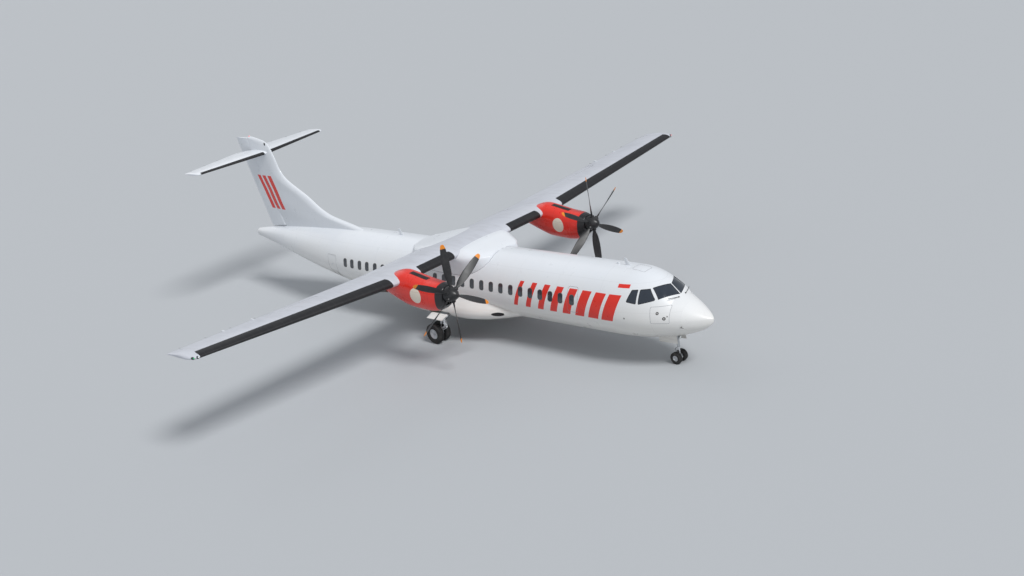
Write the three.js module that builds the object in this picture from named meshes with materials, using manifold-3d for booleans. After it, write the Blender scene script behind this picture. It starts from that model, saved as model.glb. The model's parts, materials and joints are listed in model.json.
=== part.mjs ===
// Twin-engine turboprop airliner with a high wing and a T-tail, parked on its gear.
// Millimetres. +X forward, +Y to port, +Z up, origin on the ground below mid-length.
// Inside the airframe group a place is given as s, the distance aft of the nose tip,
// y to port and z above the widest line of the fuselage. Its section is round above
// that line and flatter below it.

import * as THREE from 'three';
import { mergeVertices } from 'three/addons/utils/BufferGeometryUtils.js';
import Module from 'manifold-3d';

const wasm = await Module();
wasm.setup();

// Driving dimensions of the whole aircraft
const LENGTH = 27166;
const SPAN = 27050;
const HEIGHT = 7650;
const CENTRELINE_HEIGHT = 2140;
const BODY_RADIUS = 1432.5;
const BODY_DEPTH = 1201.5;
const SEAM = 0.3;
const SKIN_CLEARANCE = 0.5;
const MOVING_GAP = 8;

// Fuselage shape
const FUSELAGE_SIDES = 32;
const NOSE_TIP = 6;
const NOSE_HEIGHT = -184;
const NOSE_SIDES = { length: 3870, fullness: 0.8 };
const NOSE_BELLY = { length: 4020, fullness: 0.5 };
const NOSE_TOP_FULLNESS = 0.88;
const SCREEN_BASE = { s: 1310, z: 600 };
const SCREEN_TOP = { s: 1680, z: 956 };
const ROOF_START = 3150;
const BROW_PINCH = 1.15;
const BROW_LENGTH = 2000;
const TAIL_START = 17300;
const TAIL_TIP_TOP = 800;
const TAIL_TIP_BOTTOM = 570;
const TAIL_TIP_HALF_WIDTH = 70;
const TAIL_ROOF_START = 18500;
const TAIL_CURVES = { top: 2.2, bottom: 1.25, side: 1.7 };

// Fuselage lengths: name, start and end aft of the nose, and the rings between them
const FUSELAGE_LENGTHS = [
  { name: 'nose_radome', from: 0, to: 900, rings: [40, 140, 320, 600] },
  { name: 'cockpit_section', from: 900, to: 3150, rings: [1110, 1310, 1500, 1680, 1950, 2300, 2700] },
  { name: 'forward_fuselage', from: 3150, to: 8900, rings: [3600, 4020] },
  { name: 'centre_fuselage', from: 8900, to: 15700, rings: [] },
  { name: 'aft_fuselage', from: 15700, to: 21600, rings: [17300, 18500, 19900] },
  { name: 'tail_cone', from: 21600, to: LENGTH, rings: [23200, 24700, 26000, 26800] },
];

// Wing: leading edge and chord by span, one side
const WING_SECTIONS = [
  { y: 0, edge: 11120, chord: 2570, thickness: 0.18, z: 1565 },
  { y: 4450, edge: 11120, chord: 2570, thickness: 0.18, z: 1565 },
  { y: 13340, edge: 11645, chord: 1712, thickness: 0.13, z: 2095 },
  { y: SPAN / 2, edge: 11775, chord: 1512, thickness: 0.06, z: 2093 },
];
const WING_SPLIT = 4450;
const WING_INCIDENCE = THREE.MathUtils.degToRad(2);
const FLAP_START = 0.74;
const FLAP_HINGE = 0.76;
const FLAP_HINGE_DROP = 140;
const AILERON_HINGE = 0.74;
const SPOILER = { from: 0.62, to: 0.72, inner: 7250, outer: 8900, thickness: 22, gap: 12, depth: 44 };
const INNER_FLAP = { inner: 1720, outer: 3520, fairings: [2620] };
const OUTER_FLAP = { inner: 4640, outer: 9070, fairings: [5750, 8050] };
const FLAP_END_GAP = 17;
const AILERON_END_GAP = 13;
const AILERON = { inner: 9240, outer: 13080 };

// Tail
const TAILPLANE_Z = 4747;
const FIN_TOP = 5480;
const TAILPLANE_SECTIONS = [
  { y: 0, edge: 24710, chord: 2070, thickness: 0.12, z: TAILPLANE_Z },
  { y: 3520, edge: 25185, chord: 1135, thickness: 0.11, z: TAILPLANE_Z },
  { y: 3655, edge: 25325, chord: 910, thickness: 0.06, z: TAILPLANE_Z },
];
const BEACON = { s: 25980, radius: 40 };
const ELEVATOR_HINGE = 0.63;
const ELEVATOR = { inner: 190, outer: 3330 };
const RUDDER = { bottom: 1190, tail: 1060, top: 5400 };
const RUDDER_FLOOR_GAP = 30;
const RUDDER_GAP = 13;
const RUDDER_ROOM_AT_HINGE = 150;
const RUDDER_ROOM_SLOPE = 0.42;

// Fin sections by height: leading edge, trailing edge, thickness
const FIN_SECTIONS = [
  { z: 820, edge: 18700, end: 25725, thickness: 360 },
  { z: 1400, edge: 18720, end: 25895, thickness: 350 },
  { z: 1955, edge: 21030, end: 26055, thickness: 340 },
  { z: 2780, edge: 22475, end: 26300, thickness: 320 },
  { z: 3600, edge: 23910, end: 26540, thickness: 300 },
  { z: 4640, edge: 24400, end: 26845, thickness: 270 },
  { z: 5125, edge: 24640, end: 26985, thickness: 250 },
  { z: 5290, edge: 24900, end: 27033, thickness: 225 },
  { z: 5400, edge: 25380, end: 27065, thickness: 190 },
  { z: FIN_TOP, edge: 25850, end: 27085, thickness: 130 },
];

// Power units
const ENGINE_Y = 4075;
const SHAFT_Z = 1200;
const SPINNER = { tip: 8478, base: 8980, radius: 300, wall: 8 };
const PROPELLER = { radius: 1965, plane: 8800, blades: 6, rootRadius: 62, hubRadius: 205 };
const NACELLE_SIDES = 20;
const NACELLE_SECTIONS = [
  { s: 9010, top: 1520, bottom: 780, half: 345 },
  { s: 9270, top: 1605, bottom: 590, half: 435 },
  { s: 9600, top: 1640, bottom: 485, half: 500 },
  { s: 10000, top: 1680, bottom: 460, half: 530 },
  { s: 10940, top: 1850, bottom: 520, half: 535 },
  { s: 11250, top: 1895, bottom: 595, half: 530 },
  { s: 11550, top: 1865, bottom: 700, half: 515 },
  { s: 11900, top: 1770, bottom: 830, half: 480 },
  { s: 12400, top: 1690, bottom: 1000, half: 405 },
  { s: 13100, top: 1590, bottom: 1230, half: 250 },
  { s: 13620, top: 1480, bottom: 1370, half: 90 },
];
const ENGINE = { from: 9350, to: 11050, half: 290, bottom: 740, top: 1470, shaftRadius: 150 };
const INTAKE = { from: 9000, to: 9335, half: 250, bottom: 820, top: 950 };

// Landing gear
const MAIN_GEAR = { s: 12550, y: 2050, wheelSpacing: 380, tyreRadius: 432, tyreWidth: 254, rim: 215 };
const NOSE_GEAR = { s: 1800, wheelSpacing: 330, tyreRadius: 225, tyreWidth: 190, rim: 110 };
const NOSE_LEG_S = 1760;
const MAIN_BAY = { from: 11840, to: 13120, inner: 700, outer: 2300, top: -840 };
const NOSE_BAY = { from: 1180, to: 2420, half: 270, top: -620 };

// Doors cut in the fuselage: distance aft, heights, panel thickness and side
const CARGO_DOOR = { from: 3600, to: 4875, bottom: -690, top: 840, depth: 1500, wall: 70 };
const PASSENGER_DOOR = { from: 19500, to: 20220, bottom: -650, top: 1080, depth: 1100, wall: 70 };
const SERVICE_DOOR = { from: 19560, to: 20170, bottom: -620, top: 600, wall: 70 };

const COLOURS = {
  white: [0xeceae6, 0.35, 0.0],
  red: [0xd32233, 0.35, 0.0],
  wingGrey: [0xb9bcc4, 0.45, 0.1],
  black: [0x17181b, 0.5, 0.1],
  glass: [0x10151c, 0.12, 0.0],
  blade: [0x2a2b2e, 0.45, 0.1],
  steel: [0x9a9da2, 0.35, 0.8],
  rubber: [0x1b1b1c, 0.85, 0.0],
};

// Solids

function place(s, y, z) {
  return new THREE.Vector3(-s, y, z);
}

function flatten(ring, across) {
  const [u, v] = { x: ['y', 'z'], y: ['x', 'z'], z: ['x', 'y'] }[across];
  return ring.map((p) => new THREE.Vector2(p[u], p[v]));
}

// Skins a row of rings that have the same number of points. Each ring lies in a plane
// across the named axis, and the two end rings are closed with flat caps.
function loft(rings, across) {
  const sides = rings[0].length;
  const faces = [];
  for (let r = 0; r < rings.length - 1; r++) {
    for (let i = 0; i < sides; i++) {
      const a = r * sides + i;
      const b = r * sides + ((i + 1) % sides);
      faces.push([a, b, b + sides], [a, b + sides, a + sides]);
    }
  }
  const last = rings.length - 1;
  for (const [r, forward] of [[0, false], [last, true]]) {
    const flat = flatten(rings[r], across);
    const turn = Math.sign(THREE.ShapeUtils.area(flat));
    for (const [i, j, k] of THREE.ShapeUtils.triangulateShape(flat, [])) {
      const same = Math.sign(THREE.ShapeUtils.area([flat[i], flat[j], flat[k]])) === turn;
      const face = same === forward ? [i, j, k] : [i, k, j];
      faces.push(face.map((n) => n + r * sides));
    }
  }
  const points = rings.flat();
  let volume = 0;
  for (const [a, b, c] of faces) {
    volume += points[a].dot(points[b].clone().cross(points[c]));
  }
  const outward = volume > 0 ? faces : faces.map(([a, b, c]) => [a, c, b]);
  const geometry = new THREE.BufferGeometry().setFromPoints(points);
  geometry.setIndex(outward.flat());
  return solid(geometry);
}

// Turns a closed geometry into a solid that can be joined and cut
function solid(geometry) {
  const bare = geometry.clone();
  bare.deleteAttribute('normal');
  bare.deleteAttribute('uv');
  const merged = mergeVertices(bare, 1e-3);
  const index = merged.index.array;
  const faces = [];
  for (let i = 0; i < index.length; i += 3) {
    const [a, b, c] = [index[i], index[i + 1], index[i + 2]];
    if (a !== b && b !== c && c !== a) {
      faces.push(a, b, c);
    }
  }
  return new wasm.Manifold(new wasm.Mesh({
    numProp: 3,
    vertProperties: new Float32Array(merged.attributes.position.array),
    triVerts: new Uint32Array(faces),
  }));
}

function geometryOf(body) {
  const mesh = body.getMesh();
  const geometry = new THREE.BufferGeometry();
  geometry.setAttribute('position', new THREE.BufferAttribute(mesh.vertProperties, 3));
  geometry.setIndex(new THREE.BufferAttribute(mesh.triVerts, 1));
  geometry.computeVertexNormals();
  return geometry;
}

function block(from, to, y0, y1, z0, z1) {
  const geometry = new THREE.BoxGeometry(to - from, y1 - y0, z1 - z0);
  geometry.translate(-(from + to) / 2, (y0 + y1) / 2, (z0 + z1) / 2);
  return solid(geometry);
}

// A plate across Y: its outline is a list of s, z pairs
function plate(outline, y0, y1) {
  return loft([y0, y1].map((y) => outline.map(([s, z]) => place(s, y, z))), 'y');
}

function rod(start, end, radius, sides = 16, endRadius = radius) {
  const along = end.clone().sub(start);
  const geometry = new THREE.CylinderGeometry(endRadius, radius, along.length(), sides);
  const up = new THREE.Vector3(0, 1, 0);
  geometry.applyQuaternion(new THREE.Quaternion().setFromUnitVectors(up, along.clone().normalize()));
  const centre = start.clone().add(end).multiplyScalar(0.5);
  geometry.translate(centre.x, centre.y, centre.z);
  return solid(geometry);
}

// A turned body about an axis through centre along Y or X: profile rows are radius, distance
function turned(profile, centre, axis, sides = 24, start = 0) {
  const points = profile.map(([r, d]) => new THREE.Vector2(r, d));
  const geometry = new THREE.LatheGeometry(points, sides, start);
  if (axis === 'x') {
    geometry.rotateZ(-Math.PI / 2);
  }
  geometry.translate(centre.x, centre.y, centre.z);
  const body = solid(geometry);
  return body.volume() > 0 ? body : solid(flipped(geometry));
}

function flipped(geometry) {
  const copy = geometry.clone();
  const index = copy.index.array;
  for (let i = 0; i < index.length; i += 3) {
    [index[i + 1], index[i + 2]] = [index[i + 2], index[i + 1]];
  }
  return copy;
}

// Fuselage

function noseRise(s, { length, fullness }) {
  const left = 1 - Math.min(s, length) / length;
  return (1 - left * left) ** fullness;
}

function topLine(s) {
  if (s < SCREEN_BASE.s) {
    return NOSE_HEIGHT + (SCREEN_BASE.z - NOSE_HEIGHT) * (s / SCREEN_BASE.s) ** NOSE_TOP_FULLNESS;
  }
  if (s < SCREEN_TOP.s) {
    const part = (s - SCREEN_BASE.s) / (SCREEN_TOP.s - SCREEN_BASE.s);
    return SCREEN_BASE.z + part * (SCREEN_TOP.z - SCREEN_BASE.z);
  }
  if (s < ROOF_START) {
    const left = 1 - (s - SCREEN_TOP.s) / (ROOF_START - SCREEN_TOP.s);
    return BODY_RADIUS - (BODY_RADIUS - SCREEN_TOP.z) * left * left;
  }
  const part = Math.max(0, s - TAIL_ROOF_START) / (LENGTH - TAIL_ROOF_START);
  return BODY_RADIUS - (BODY_RADIUS - TAIL_TIP_TOP) * part ** TAIL_CURVES.top;
}

function fuselageShape(station) {
  const s = Math.max(station, NOSE_TIP);
  const aft = Math.max(0, s - TAIL_START) / (LENGTH - TAIL_START);
  const top = topLine(s);
  const belly = BODY_DEPTH + NOSE_HEIGHT;
  const bottom = NOSE_HEIGHT - belly * noseRise(s, NOSE_BELLY)
    + (BODY_DEPTH + TAIL_TIP_BOTTOM) * aft ** TAIL_CURVES.bottom;
  const half = BODY_RADIUS * noseRise(s, NOSE_SIDES)
    - (BODY_RADIUS - TAIL_TIP_HALF_WIDTH) * aft ** TAIL_CURVES.side;
  const lead = 1 - Math.min(s, NOSE_SIDES.length) / NOSE_SIDES.length;
  const uneven = ((BODY_RADIUS - BODY_DEPTH) / 2) * (1 - aft);
  const middle = aft > 0 ? (top + bottom) / 2 - uneven : NOSE_HEIGHT * lead;
  const brow = Math.min(1, Math.max(0, (ROOF_START - s) / BROW_LENGTH));
  const pinch = 1 + (BROW_PINCH - 1) * Math.min(brow, s / SCREEN_BASE.s);
  return { half, top, bottom, middle, pinch };
}

function fuselageRing(s, inset, shownAt = s) {
  const { half, top, bottom, middle, pinch } = fuselageShape(s);
  const ring = [];
  for (let i = 0; i < FUSELAGE_SIDES; i++) {
    const angle = (i * 2 * Math.PI) / FUSELAGE_SIDES;
    const y = (half - inset) * Math.sin(angle);
    const rise = Math.cos(angle);
    const upper = (top - inset - middle) * Math.max(0, rise) ** pinch;
    const lower = (middle - bottom - inset) * Math.min(0, rise);
    ring.push(place(shownAt, y, middle + upper + lower));
  }
  return ring;
}

// The fuselage between two stations, shrunk by inset all round
function hull(from, to, inset) {
  const inner = FUSELAGE_LENGTHS.flatMap((part) => [part.from, ...part.rings, part.to]);
  const stations = [...new Set([from, ...inner.filter((s) => s > from && s < to), to])];
  return loft(stations.sort((a, b) => a - b).map((s) => fuselageRing(s, inset)), 'x');
}

// Cockpit glazing: side-view outlines of the panes' band and of each pane. The panes' faces lie
// sunk below the skin, and the band reaches far enough across to cut both sides.
const GLASS_SINK = 12;
const GLASS_DEPTH = 45;
const GLASS_BAND = [
  [1275, 560], [1670, 1005], [2050, 1020], [2780, 990], [2920, 520], [2450, 430], [1275, 430],
];
const GLASS_LENGTH = { from: 1000, to: 3000 };
const ACROSS = 1500;
const SIDE_PANES = [
  [[1805, 602], [2090, 930], [2396, 930], [2372, 490]],
  [[2470, 500], [2479, 928], [2702, 915], [2840, 560]],
];
const FRONT_PANE = {
  inner: 35,
  outerBase: { s: 1707, y: 757, z: 622 },
  outerTop: { s: 2025, y: 600, z: 950 },
  slope: 0.8,
  out: 160,
  in: 120,
};

// Flat front pane to port, as a thick slab standing on its outer surface
function frontPane() {
  const corners = [
    place(SCREEN_BASE.s + 14, FRONT_PANE.inner, SCREEN_BASE.z + 6),
    place(SCREEN_TOP.s - 4, FRONT_PANE.inner, SCREEN_TOP.z - 10),
    place(FRONT_PANE.outerTop.s, FRONT_PANE.outerTop.y, FRONT_PANE.outerTop.z),
    place(FRONT_PANE.outerBase.s, FRONT_PANE.outerBase.y, FRONT_PANE.outerBase.z),
  ];
  const { slope } = FRONT_PANE;
  const ring = (shift) => corners.map((p) => new THREE.Vector3(p.x + shift, p.y, p.z + shift * slope));
  return loft([ring(-FRONT_PANE.in), ring(FRONT_PANE.out)], 'x');
}

function mirrored(body) {
  return body.mirror([0, 1, 0]);
}

// An outline drawn in about the middle of its box, so that each side moves in
function drawnIn(outline, by) {
  const centre = [0, 1].map((k) => {
    const values = outline.map((p) => p[k]);
    const [low, high] = [Math.min(...values), Math.max(...values)];
    return { middle: (high + low) / 2, half: (high - low) / 2 };
  });
  return outline.map((p) => p.map((value, k) => {
    const { middle, half } = centre[k];
    return middle + (value - middle) * (1 - by / half);
  }));
}

function glazingBand(tight) {
  const band = plate(drawnIn(GLASS_BAND, tight * 3), -ACROSS, ACROSS);
  const { from, to } = GLASS_LENGTH;
  const shell = hull(from, to, GLASS_SINK + tight).subtract(hull(from, to, GLASS_DEPTH - tight));
  return shell.intersect(band);
}

function cockpitSection(shell) {
  let section = shell.subtract(glazingBand(0));
  const { from, to } = GLASS_LENGTH;
  const reach = hull(from, to, -20).subtract(hull(from, to, GLASS_SINK + 1));
  for (const outline of SIDE_PANES) {
    section = section.subtract(plate(outline, -ACROSS, ACROSS).intersect(reach));
  }
  for (const pane of [frontPane(), mirrored(frontPane())]) {
    section = section.subtract(pane.intersect(reach));
  }
  return section;
}

// Where the side of the fuselage lies at one station and height, port side
function sideAt(s, z) {
  const { half, top, bottom, middle, pinch } = fuselageShape(s);
  const above = z > middle;
  const rise = above ? ((z - middle) / (top - middle)) ** (1 / pinch) : (middle - z) / (middle - bottom);
  return half * Math.sqrt(Math.max(0, 1 - rise ** 2));
}

const DOOR_PIN = { radius: 8, reach: 40, inset: 14, fromEdge: 50 };
const OUTSIDE = 1600;

function doorHinge(door, z) {
  return [door.from, door.to].map((s) => place(s, sideAt(s, z) - DOOR_PIN.inset, z));
}

const CARGO_HINGE = doorHinge(CARGO_DOOR, CARGO_DOOR.top - DOOR_PIN.fromEdge);
const PASSENGER_HINGE = doorHinge(PASSENGER_DOOR, PASSENGER_DOOR.bottom + DOOR_PIN.fromEdge);
const SERVICE_LINE = doorHinge(SERVICE_DOOR, 0);

// The space of a doorway, square to its hinge line in plan and drawn in by the gap
function doorway(door, [front, back], gap, inner, outer = OUTSIDE) {
  const middle = front.clone().lerp(back, 0.5);
  const turn = THREE.MathUtils.radToDeg(Math.atan2(front.y - back.y, front.x - back.x));
  const half = (door.to - door.from) / 2 - gap;
  const space = block(-half, half, inner - middle.y, outer - middle.y, door.bottom + gap, door.top - gap);
  return space.rotate([0, 0, turn]).translate([middle.x, middle.y, 0]);
}

// A curved panel of the fuselage side in a doorway, port side
function sidePanel(door, line, gap) {
  const { from, to, wall } = door;
  const skin = hull(from - 300, to + 300, 0).subtract(hull(from - 300, to + 300, wall));
  return doorway(door, line, gap, 300).intersect(skin);
}

function doorPocket(door, line) {
  return doorway(door, line, 0, BODY_RADIUS - door.depth);
}

// Hinge pins of a panel: short rods along the hinge line at both ends
function endPins(start, end, radius, reach) {
  const along = end.clone().sub(start).normalize();
  const pins = [];
  for (const [tip, sign] of [[start, 1], [end, -1]]) {
    const inside = tip.clone().addScaledVector(along, sign * reach);
    const outside = tip.clone().addScaledVector(along, -sign * reach);
    pins.push(rod(outside, inside, radius, 12));
  }
  return pins;
}

const PIN_PLAY = 1;
const SURFACE_PIN = { radius: 12, reach: 45 };

function joinPins(body, [start, end], { radius, reach } = SURFACE_PIN) {
  return endPins(start, end, radius, reach).reduce((sum, pin) => sum.add(pin), body);
}

function cutPins(body, [start, end], { radius, reach } = SURFACE_PIN) {
  const holes = endPins(start, end, radius + PIN_PLAY, reach + 2);
  return holes.reduce((sum, pin) => sum.subtract(pin), body);
}

// Aerofoil surfaces

function aerofoilHeight(x, thickness, camber, side) {
  const body = 0.2969 * Math.sqrt(x) - 0.126 * x - 0.3516 * x ** 2 + 0.2843 * x ** 3 - 0.1015 * x ** 4;
  return 4 * camber * x * (1 - x) + side * 5 * thickness * body;
}

function spanSection(table, y) {
  let i = 0;
  while (i < table.length - 2 && table[i + 1].y < y) {
    i++;
  }
  const [a, b] = [table[i], table[i + 1]];
  const part = (y - a.y) / (b.y - a.y);
  const mix = (key) => a[key] + (b[key] - a[key]) * part;
  return { y, edge: mix('edge'), chord: mix('chord'), thickness: mix('thickness'), z: mix('z') };
}

const WING = { table: WING_SECTIONS, camber: 0.02, incidence: WING_INCIDENCE };
const TAILPLANE = { table: TAILPLANE_SECTIONS, camber: 0, incidence: 0 };

// The point on a surface at a span, a fraction of the chord and 1 for top, -1 for bottom, 0 for between
function onSurface(surface, y, fraction, side) {
  const { edge, chord, thickness, z } = spanSection(surface.table, y);
  const height = aerofoilHeight(fraction, thickness, surface.camber, side) * chord;
  return place(edge + fraction * chord, y, z + height - fraction * chord * Math.sin(surface.incidence));
}

const CHORD_STEPS = 7;

function aerofoilRing(surface, y, from = 0, to = 1) {
  const upper = [];
  const lower = [];
  for (let k = 0; k <= CHORD_STEPS; k++) {
    const part = (1 - Math.cos((Math.PI * k) / CHORD_STEPS)) / 2;
    const fraction = from + (to - from) * part;
    upper.push(onSurface(surface, y, fraction, 1));
    lower.push(onSurface(surface, y, fraction, -1));
  }
  return [...upper, ...lower.slice(from === 0 ? 1 : 0).reverse()];
}

function aerofoilBody(surface, spans, from = 0, to = 1) {
  return loft(spans.map((y) => aerofoilRing(surface, y, from, to)), 'y');
}

// The hinge line of a surface, at mid thickness
function hingeLine(surface, fraction, inner, outer) {
  return [inner, outer].map((y) => onSurface(surface, y, fraction, 0));
}

const NOSE_STEPS = 6;
const AROUND = 1 / Math.cos(Math.PI / NOSE_STEPS / 2);

// A movable trailing surface with a round nose about its hinge line
function movingSurface(surface, fraction, inner, outer) {
  const rings = [inner, outer].map((y) => {
    const top = onSurface(surface, y, fraction, 1);
    const bottom = onSurface(surface, y, fraction, -1);
    const centre = onSurface(surface, y, fraction, 0);
    const radius = (top.z - bottom.z) / 2;
    const ring = [];
    for (const part of [1, 0.5, 0]) {
      ring.push(onSurface(surface, y, fraction + (1 - fraction) * part, 1));
    }
    for (let k = 1; k < NOSE_STEPS; k++) {
      const angle = Math.PI / 2 - (Math.PI * k) / NOSE_STEPS;
      ring.push(new THREE.Vector3(centre.x + radius * Math.cos(angle), y, centre.z + radius * Math.sin(angle)));
    }
    for (const part of [0, 0.5, 1]) {
      ring.push(onSurface(surface, y, fraction + (1 - fraction) * part, -1));
    }
    return ring;
  });
  return loft(rings, 'y');
}

// The room that a movable surface needs, to be cut from what carries it, open above and below
// or, for what passes under it, only down to its lower face
function movingRoom(surface, fraction, inner, outer, openBelow = true) {
  const far = 400;
  const rings = [inner, outer].map((y) => {
    const top = onSurface(surface, y, fraction, 1);
    const bottom = onSurface(surface, y, fraction, -1);
    const centre = onSurface(surface, y, fraction, 0);
    const end = onSurface(surface, y, 1, 0);
    const radius = ((top.z - bottom.z) / 2 + MOVING_GAP) * AROUND;
    const high = centre.z + far;
    const ring = [new THREE.Vector3(end.x - far, y, high), new THREE.Vector3(centre.x, y, high)];
    for (let k = 0; k <= NOSE_STEPS; k++) {
      const angle = Math.PI / 2 - (Math.PI * k) / NOSE_STEPS;
      ring.push(new THREE.Vector3(centre.x + radius * Math.cos(angle), y, centre.z + radius * Math.sin(angle)));
    }
    const low = centre.z - (openBelow ? far : radius);
    ring.push(new THREE.Vector3(centre.x, y, low), new THREE.Vector3(end.x - far, y, low));
    return ring;
  });
  return loft(rings, 'y');
}

// Flaps swing about a line below the wing, carried in fairings whose rear part moves with them

function flapHinge(flap) {
  return [flap.inner, flap.outer].map((y) => {
    const point = onSurface(WING, y, FLAP_HINGE, -1);
    return new THREE.Vector3(point.x, y, point.z - FLAP_HINGE_DROP);
  });
}

function pointAtSpan([start, end], y) {
  return start.clone().lerp(end, (y - start.y) / (end.y - start.y));
}

// A short rod about the hinge line, reaching the same way to both sides of one point
function hingeRod(hinge, along, reach, radius) {
  const side = along.clone().setLength(reach);
  return rod(hinge.clone().sub(side), hinge.clone().add(side), radius, 12);
}

function hingeSpots(flap) {
  const line = flapHinge(flap);
  const along = line[1].clone().sub(line[0]).normalize();
  return flap.fairings.map((y) => ({ hinge: pointAtSpan(line, y), along }));
}

const FAIRING_HALF = 60;
const TONGUE_HALF = 18;
const SLOT_HALF = 27;
const FLAP_PIN_RADIUS = 14;
const FAIRING_FRONT = [
  [-820, 200], [-760, 120], [-560, 30], [-300, -30], [-60, -45], [18, -45], [42, -18],
  [42, 18], [20, 62], [-60, 90], [-95, 150], [-95, 200],
];
const FAIRING_REAR = [
  [76, -38], [300, -12], [560, 60], [700, 118], [700, 138], [300, 190], [76, 190],
];
const FAIRING_TONGUE = [
  [-34, -16], [-16, -34], [16, -34], [120, -20], [120, 120], [60, 120], [-16, 34], [-34, 16],
];

function besideHinge(outline, hinge) {
  return outline.map(([aft, up]) => [-hinge.x + aft, hinge.z + up]);
}

function fairingFront({ hinge, along }) {
  const body = plate(besideHinge(FAIRING_FRONT, hinge), hinge.y - FAIRING_HALF, hinge.y + FAIRING_HALF);
  const s = -hinge.x;
  const open = block(s - 62, s + 60, hinge.y - SLOT_HALF, hinge.y + SLOT_HALF, hinge.z - 60, hinge.z + 200);
  return body.subtract(open).add(hingeRod(hinge, along, SLOT_HALF + 10, FLAP_PIN_RADIUS));
}

function fairingFronts(flap) {
  const room = movingRoom(WING, FLAP_START, flap.inner, flap.outer, false);
  const fronts = hingeSpots(flap).map((spot) => fairingFront(spot).subtract(room));
  return fronts.reduce((sum, part) => sum.add(part));
}

function fairingRear({ hinge, along }) {
  const body = plate(besideHinge(FAIRING_REAR, hinge), hinge.y - FAIRING_HALF, hinge.y + FAIRING_HALF);
  const tongue = plate(besideHinge(FAIRING_TONGUE, hinge), hinge.y - TONGUE_HALF, hinge.y + TONGUE_HALF);
  return body.add(tongue).subtract(hingeRod(hinge, along, TONGUE_HALF + 10, FLAP_PIN_RADIUS + PIN_PLAY));
}

function flapBody(flap) {
  const surface = movingSurface(WING, FLAP_START + 0.012, flap.inner, flap.outer);
  const below = hingeSpots(flap).map((spot) => fairingRear(spot).subtract(skinAbove(flap)));
  return below.reduce((sum, part) => sum.add(part), surface);
}

// Everything above the middle of the wing over a flap's span
function skinAbove(flap) {
  const rings = [flap.inner, flap.outer].map((y) => {
    const front = onSurface(WING, y, 0.5, 0);
    const back = onSurface(WING, y, 1, 0);
    return [
      new THREE.Vector3(front.x, y, front.z), new THREE.Vector3(front.x, y, front.z + 600),
      new THREE.Vector3(back.x - 200, y, back.z + 600), new THREE.Vector3(back.x - 200, y, back.z),
    ];
  });
  return loft(rings, 'y');
}

// Spoiler: a thin panel of the top skin ahead of the outer flap
function spoilerRings(grow, up, down) {
  return [SPOILER.inner - grow, SPOILER.outer + grow].map((y) => {
    const front = onSurface(WING, y, SPOILER.from, 1);
    const back = onSurface(WING, y, SPOILER.to, 1);
    return [
      new THREE.Vector3(front.x + grow, y, front.z + up), new THREE.Vector3(back.x - grow, y, back.z + up),
      new THREE.Vector3(back.x - grow, y, back.z - down), new THREE.Vector3(front.x + grow, y, front.z - down),
    ];
  });
}

const SPOILER_HINGE = [SPOILER.inner, SPOILER.outer].map((y) => {
  const front = onSurface(WING, y, SPOILER.from, 1);
  return new THREE.Vector3(front.x - 8, y, front.z - SPOILER.thickness / 2);
});

const SPOILER_PIN = { radius: 6, reach: 40 };
const SPOILER_PIN_ENDS = { radius: 6, reach: 30 };

function spoilerBody() {
  const panel = loft(spoilerRings(0, 0, SPOILER.thickness), 'y');
  return cutPins(panel, SPOILER_HINGE, SPOILER_PIN);
}

const AILERON_LINE = hingeLine(WING, AILERON_HINGE, AILERON.inner, AILERON.outer);
const ELEVATOR_LINE = hingeLine(TAILPLANE, ELEVATOR_HINGE, ELEVATOR.inner, ELEVATOR.outer);
const ELEVATOR_TIP_PIN = [ELEVATOR_LINE[1], ELEVATOR_LINE[1].clone().lerp(ELEVATOR_LINE[0], -0.1)];

function wingCentre() {
  let wing = aerofoilBody(WING, [0, WING_SPLIT - SEAM]);
  const { inner, outer } = INNER_FLAP;
  wing = wing.subtract(movingRoom(WING, FLAP_START, inner - MOVING_GAP, outer + FLAP_END_GAP));
  wing = wing.add(fairingFronts(INNER_FLAP));
  return wing.add(mirrored(wing));
}

function wingOuter() {
  const tip = WING_SECTIONS.slice(-2).map((row) => row.y);
  let wing = aerofoilBody(WING, [WING_SPLIT + SEAM, ...tip]);
  const flapEnds = [OUTER_FLAP.inner - MOVING_GAP, OUTER_FLAP.outer + FLAP_END_GAP];
  const aileronEnds = [AILERON.inner - AILERON_END_GAP, AILERON.outer + AILERON_END_GAP];
  wing = wing.subtract(movingRoom(WING, FLAP_START, ...flapEnds));
  wing = wing.subtract(movingRoom(WING, AILERON_HINGE, ...aileronEnds));
  wing = wing.subtract(loft(spoilerRings(SPOILER.gap, 60, SPOILER.depth), 'y'));
  wing = wing.add(fairingFronts(OUTER_FLAP));
  wing = joinPins(wing, AILERON_LINE);
  return joinPins(wing, SPOILER_HINGE, SPOILER_PIN_ENDS);
}

function aileronBody() {
  return cutPins(movingSurface(WING, AILERON_HINGE, AILERON.inner, AILERON.outer), AILERON_LINE);
}

// Saddle that blends the wing into the top of the fuselage: half width, top and skirt by station
const SADDLE_SECTIONS = [
  { s: 10060, half: 760, top: 1440, skirt: 1180 },
  { s: 10280, half: 1060, top: 1510, skirt: 980 },
  { s: 10700, half: 1330, top: 1620, skirt: 770 },
  { s: 11150, half: 1500, top: 1720, skirt: 650 },
  { s: 12000, half: 1560, top: 1760, skirt: 630 },
  { s: 13000, half: 1500, top: 1700, skirt: 650 },
  { s: 13700, half: 1330, top: 1600, skirt: 780 },
  { s: 14300, half: 1000, top: 1500, skirt: 1020 },
  { s: 14700, half: 600, top: 1440, skirt: 1280 },
];

const SADDLE = { shoulder: 0.72, proud: 6, belly: 20, lap: 60 };

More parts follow.
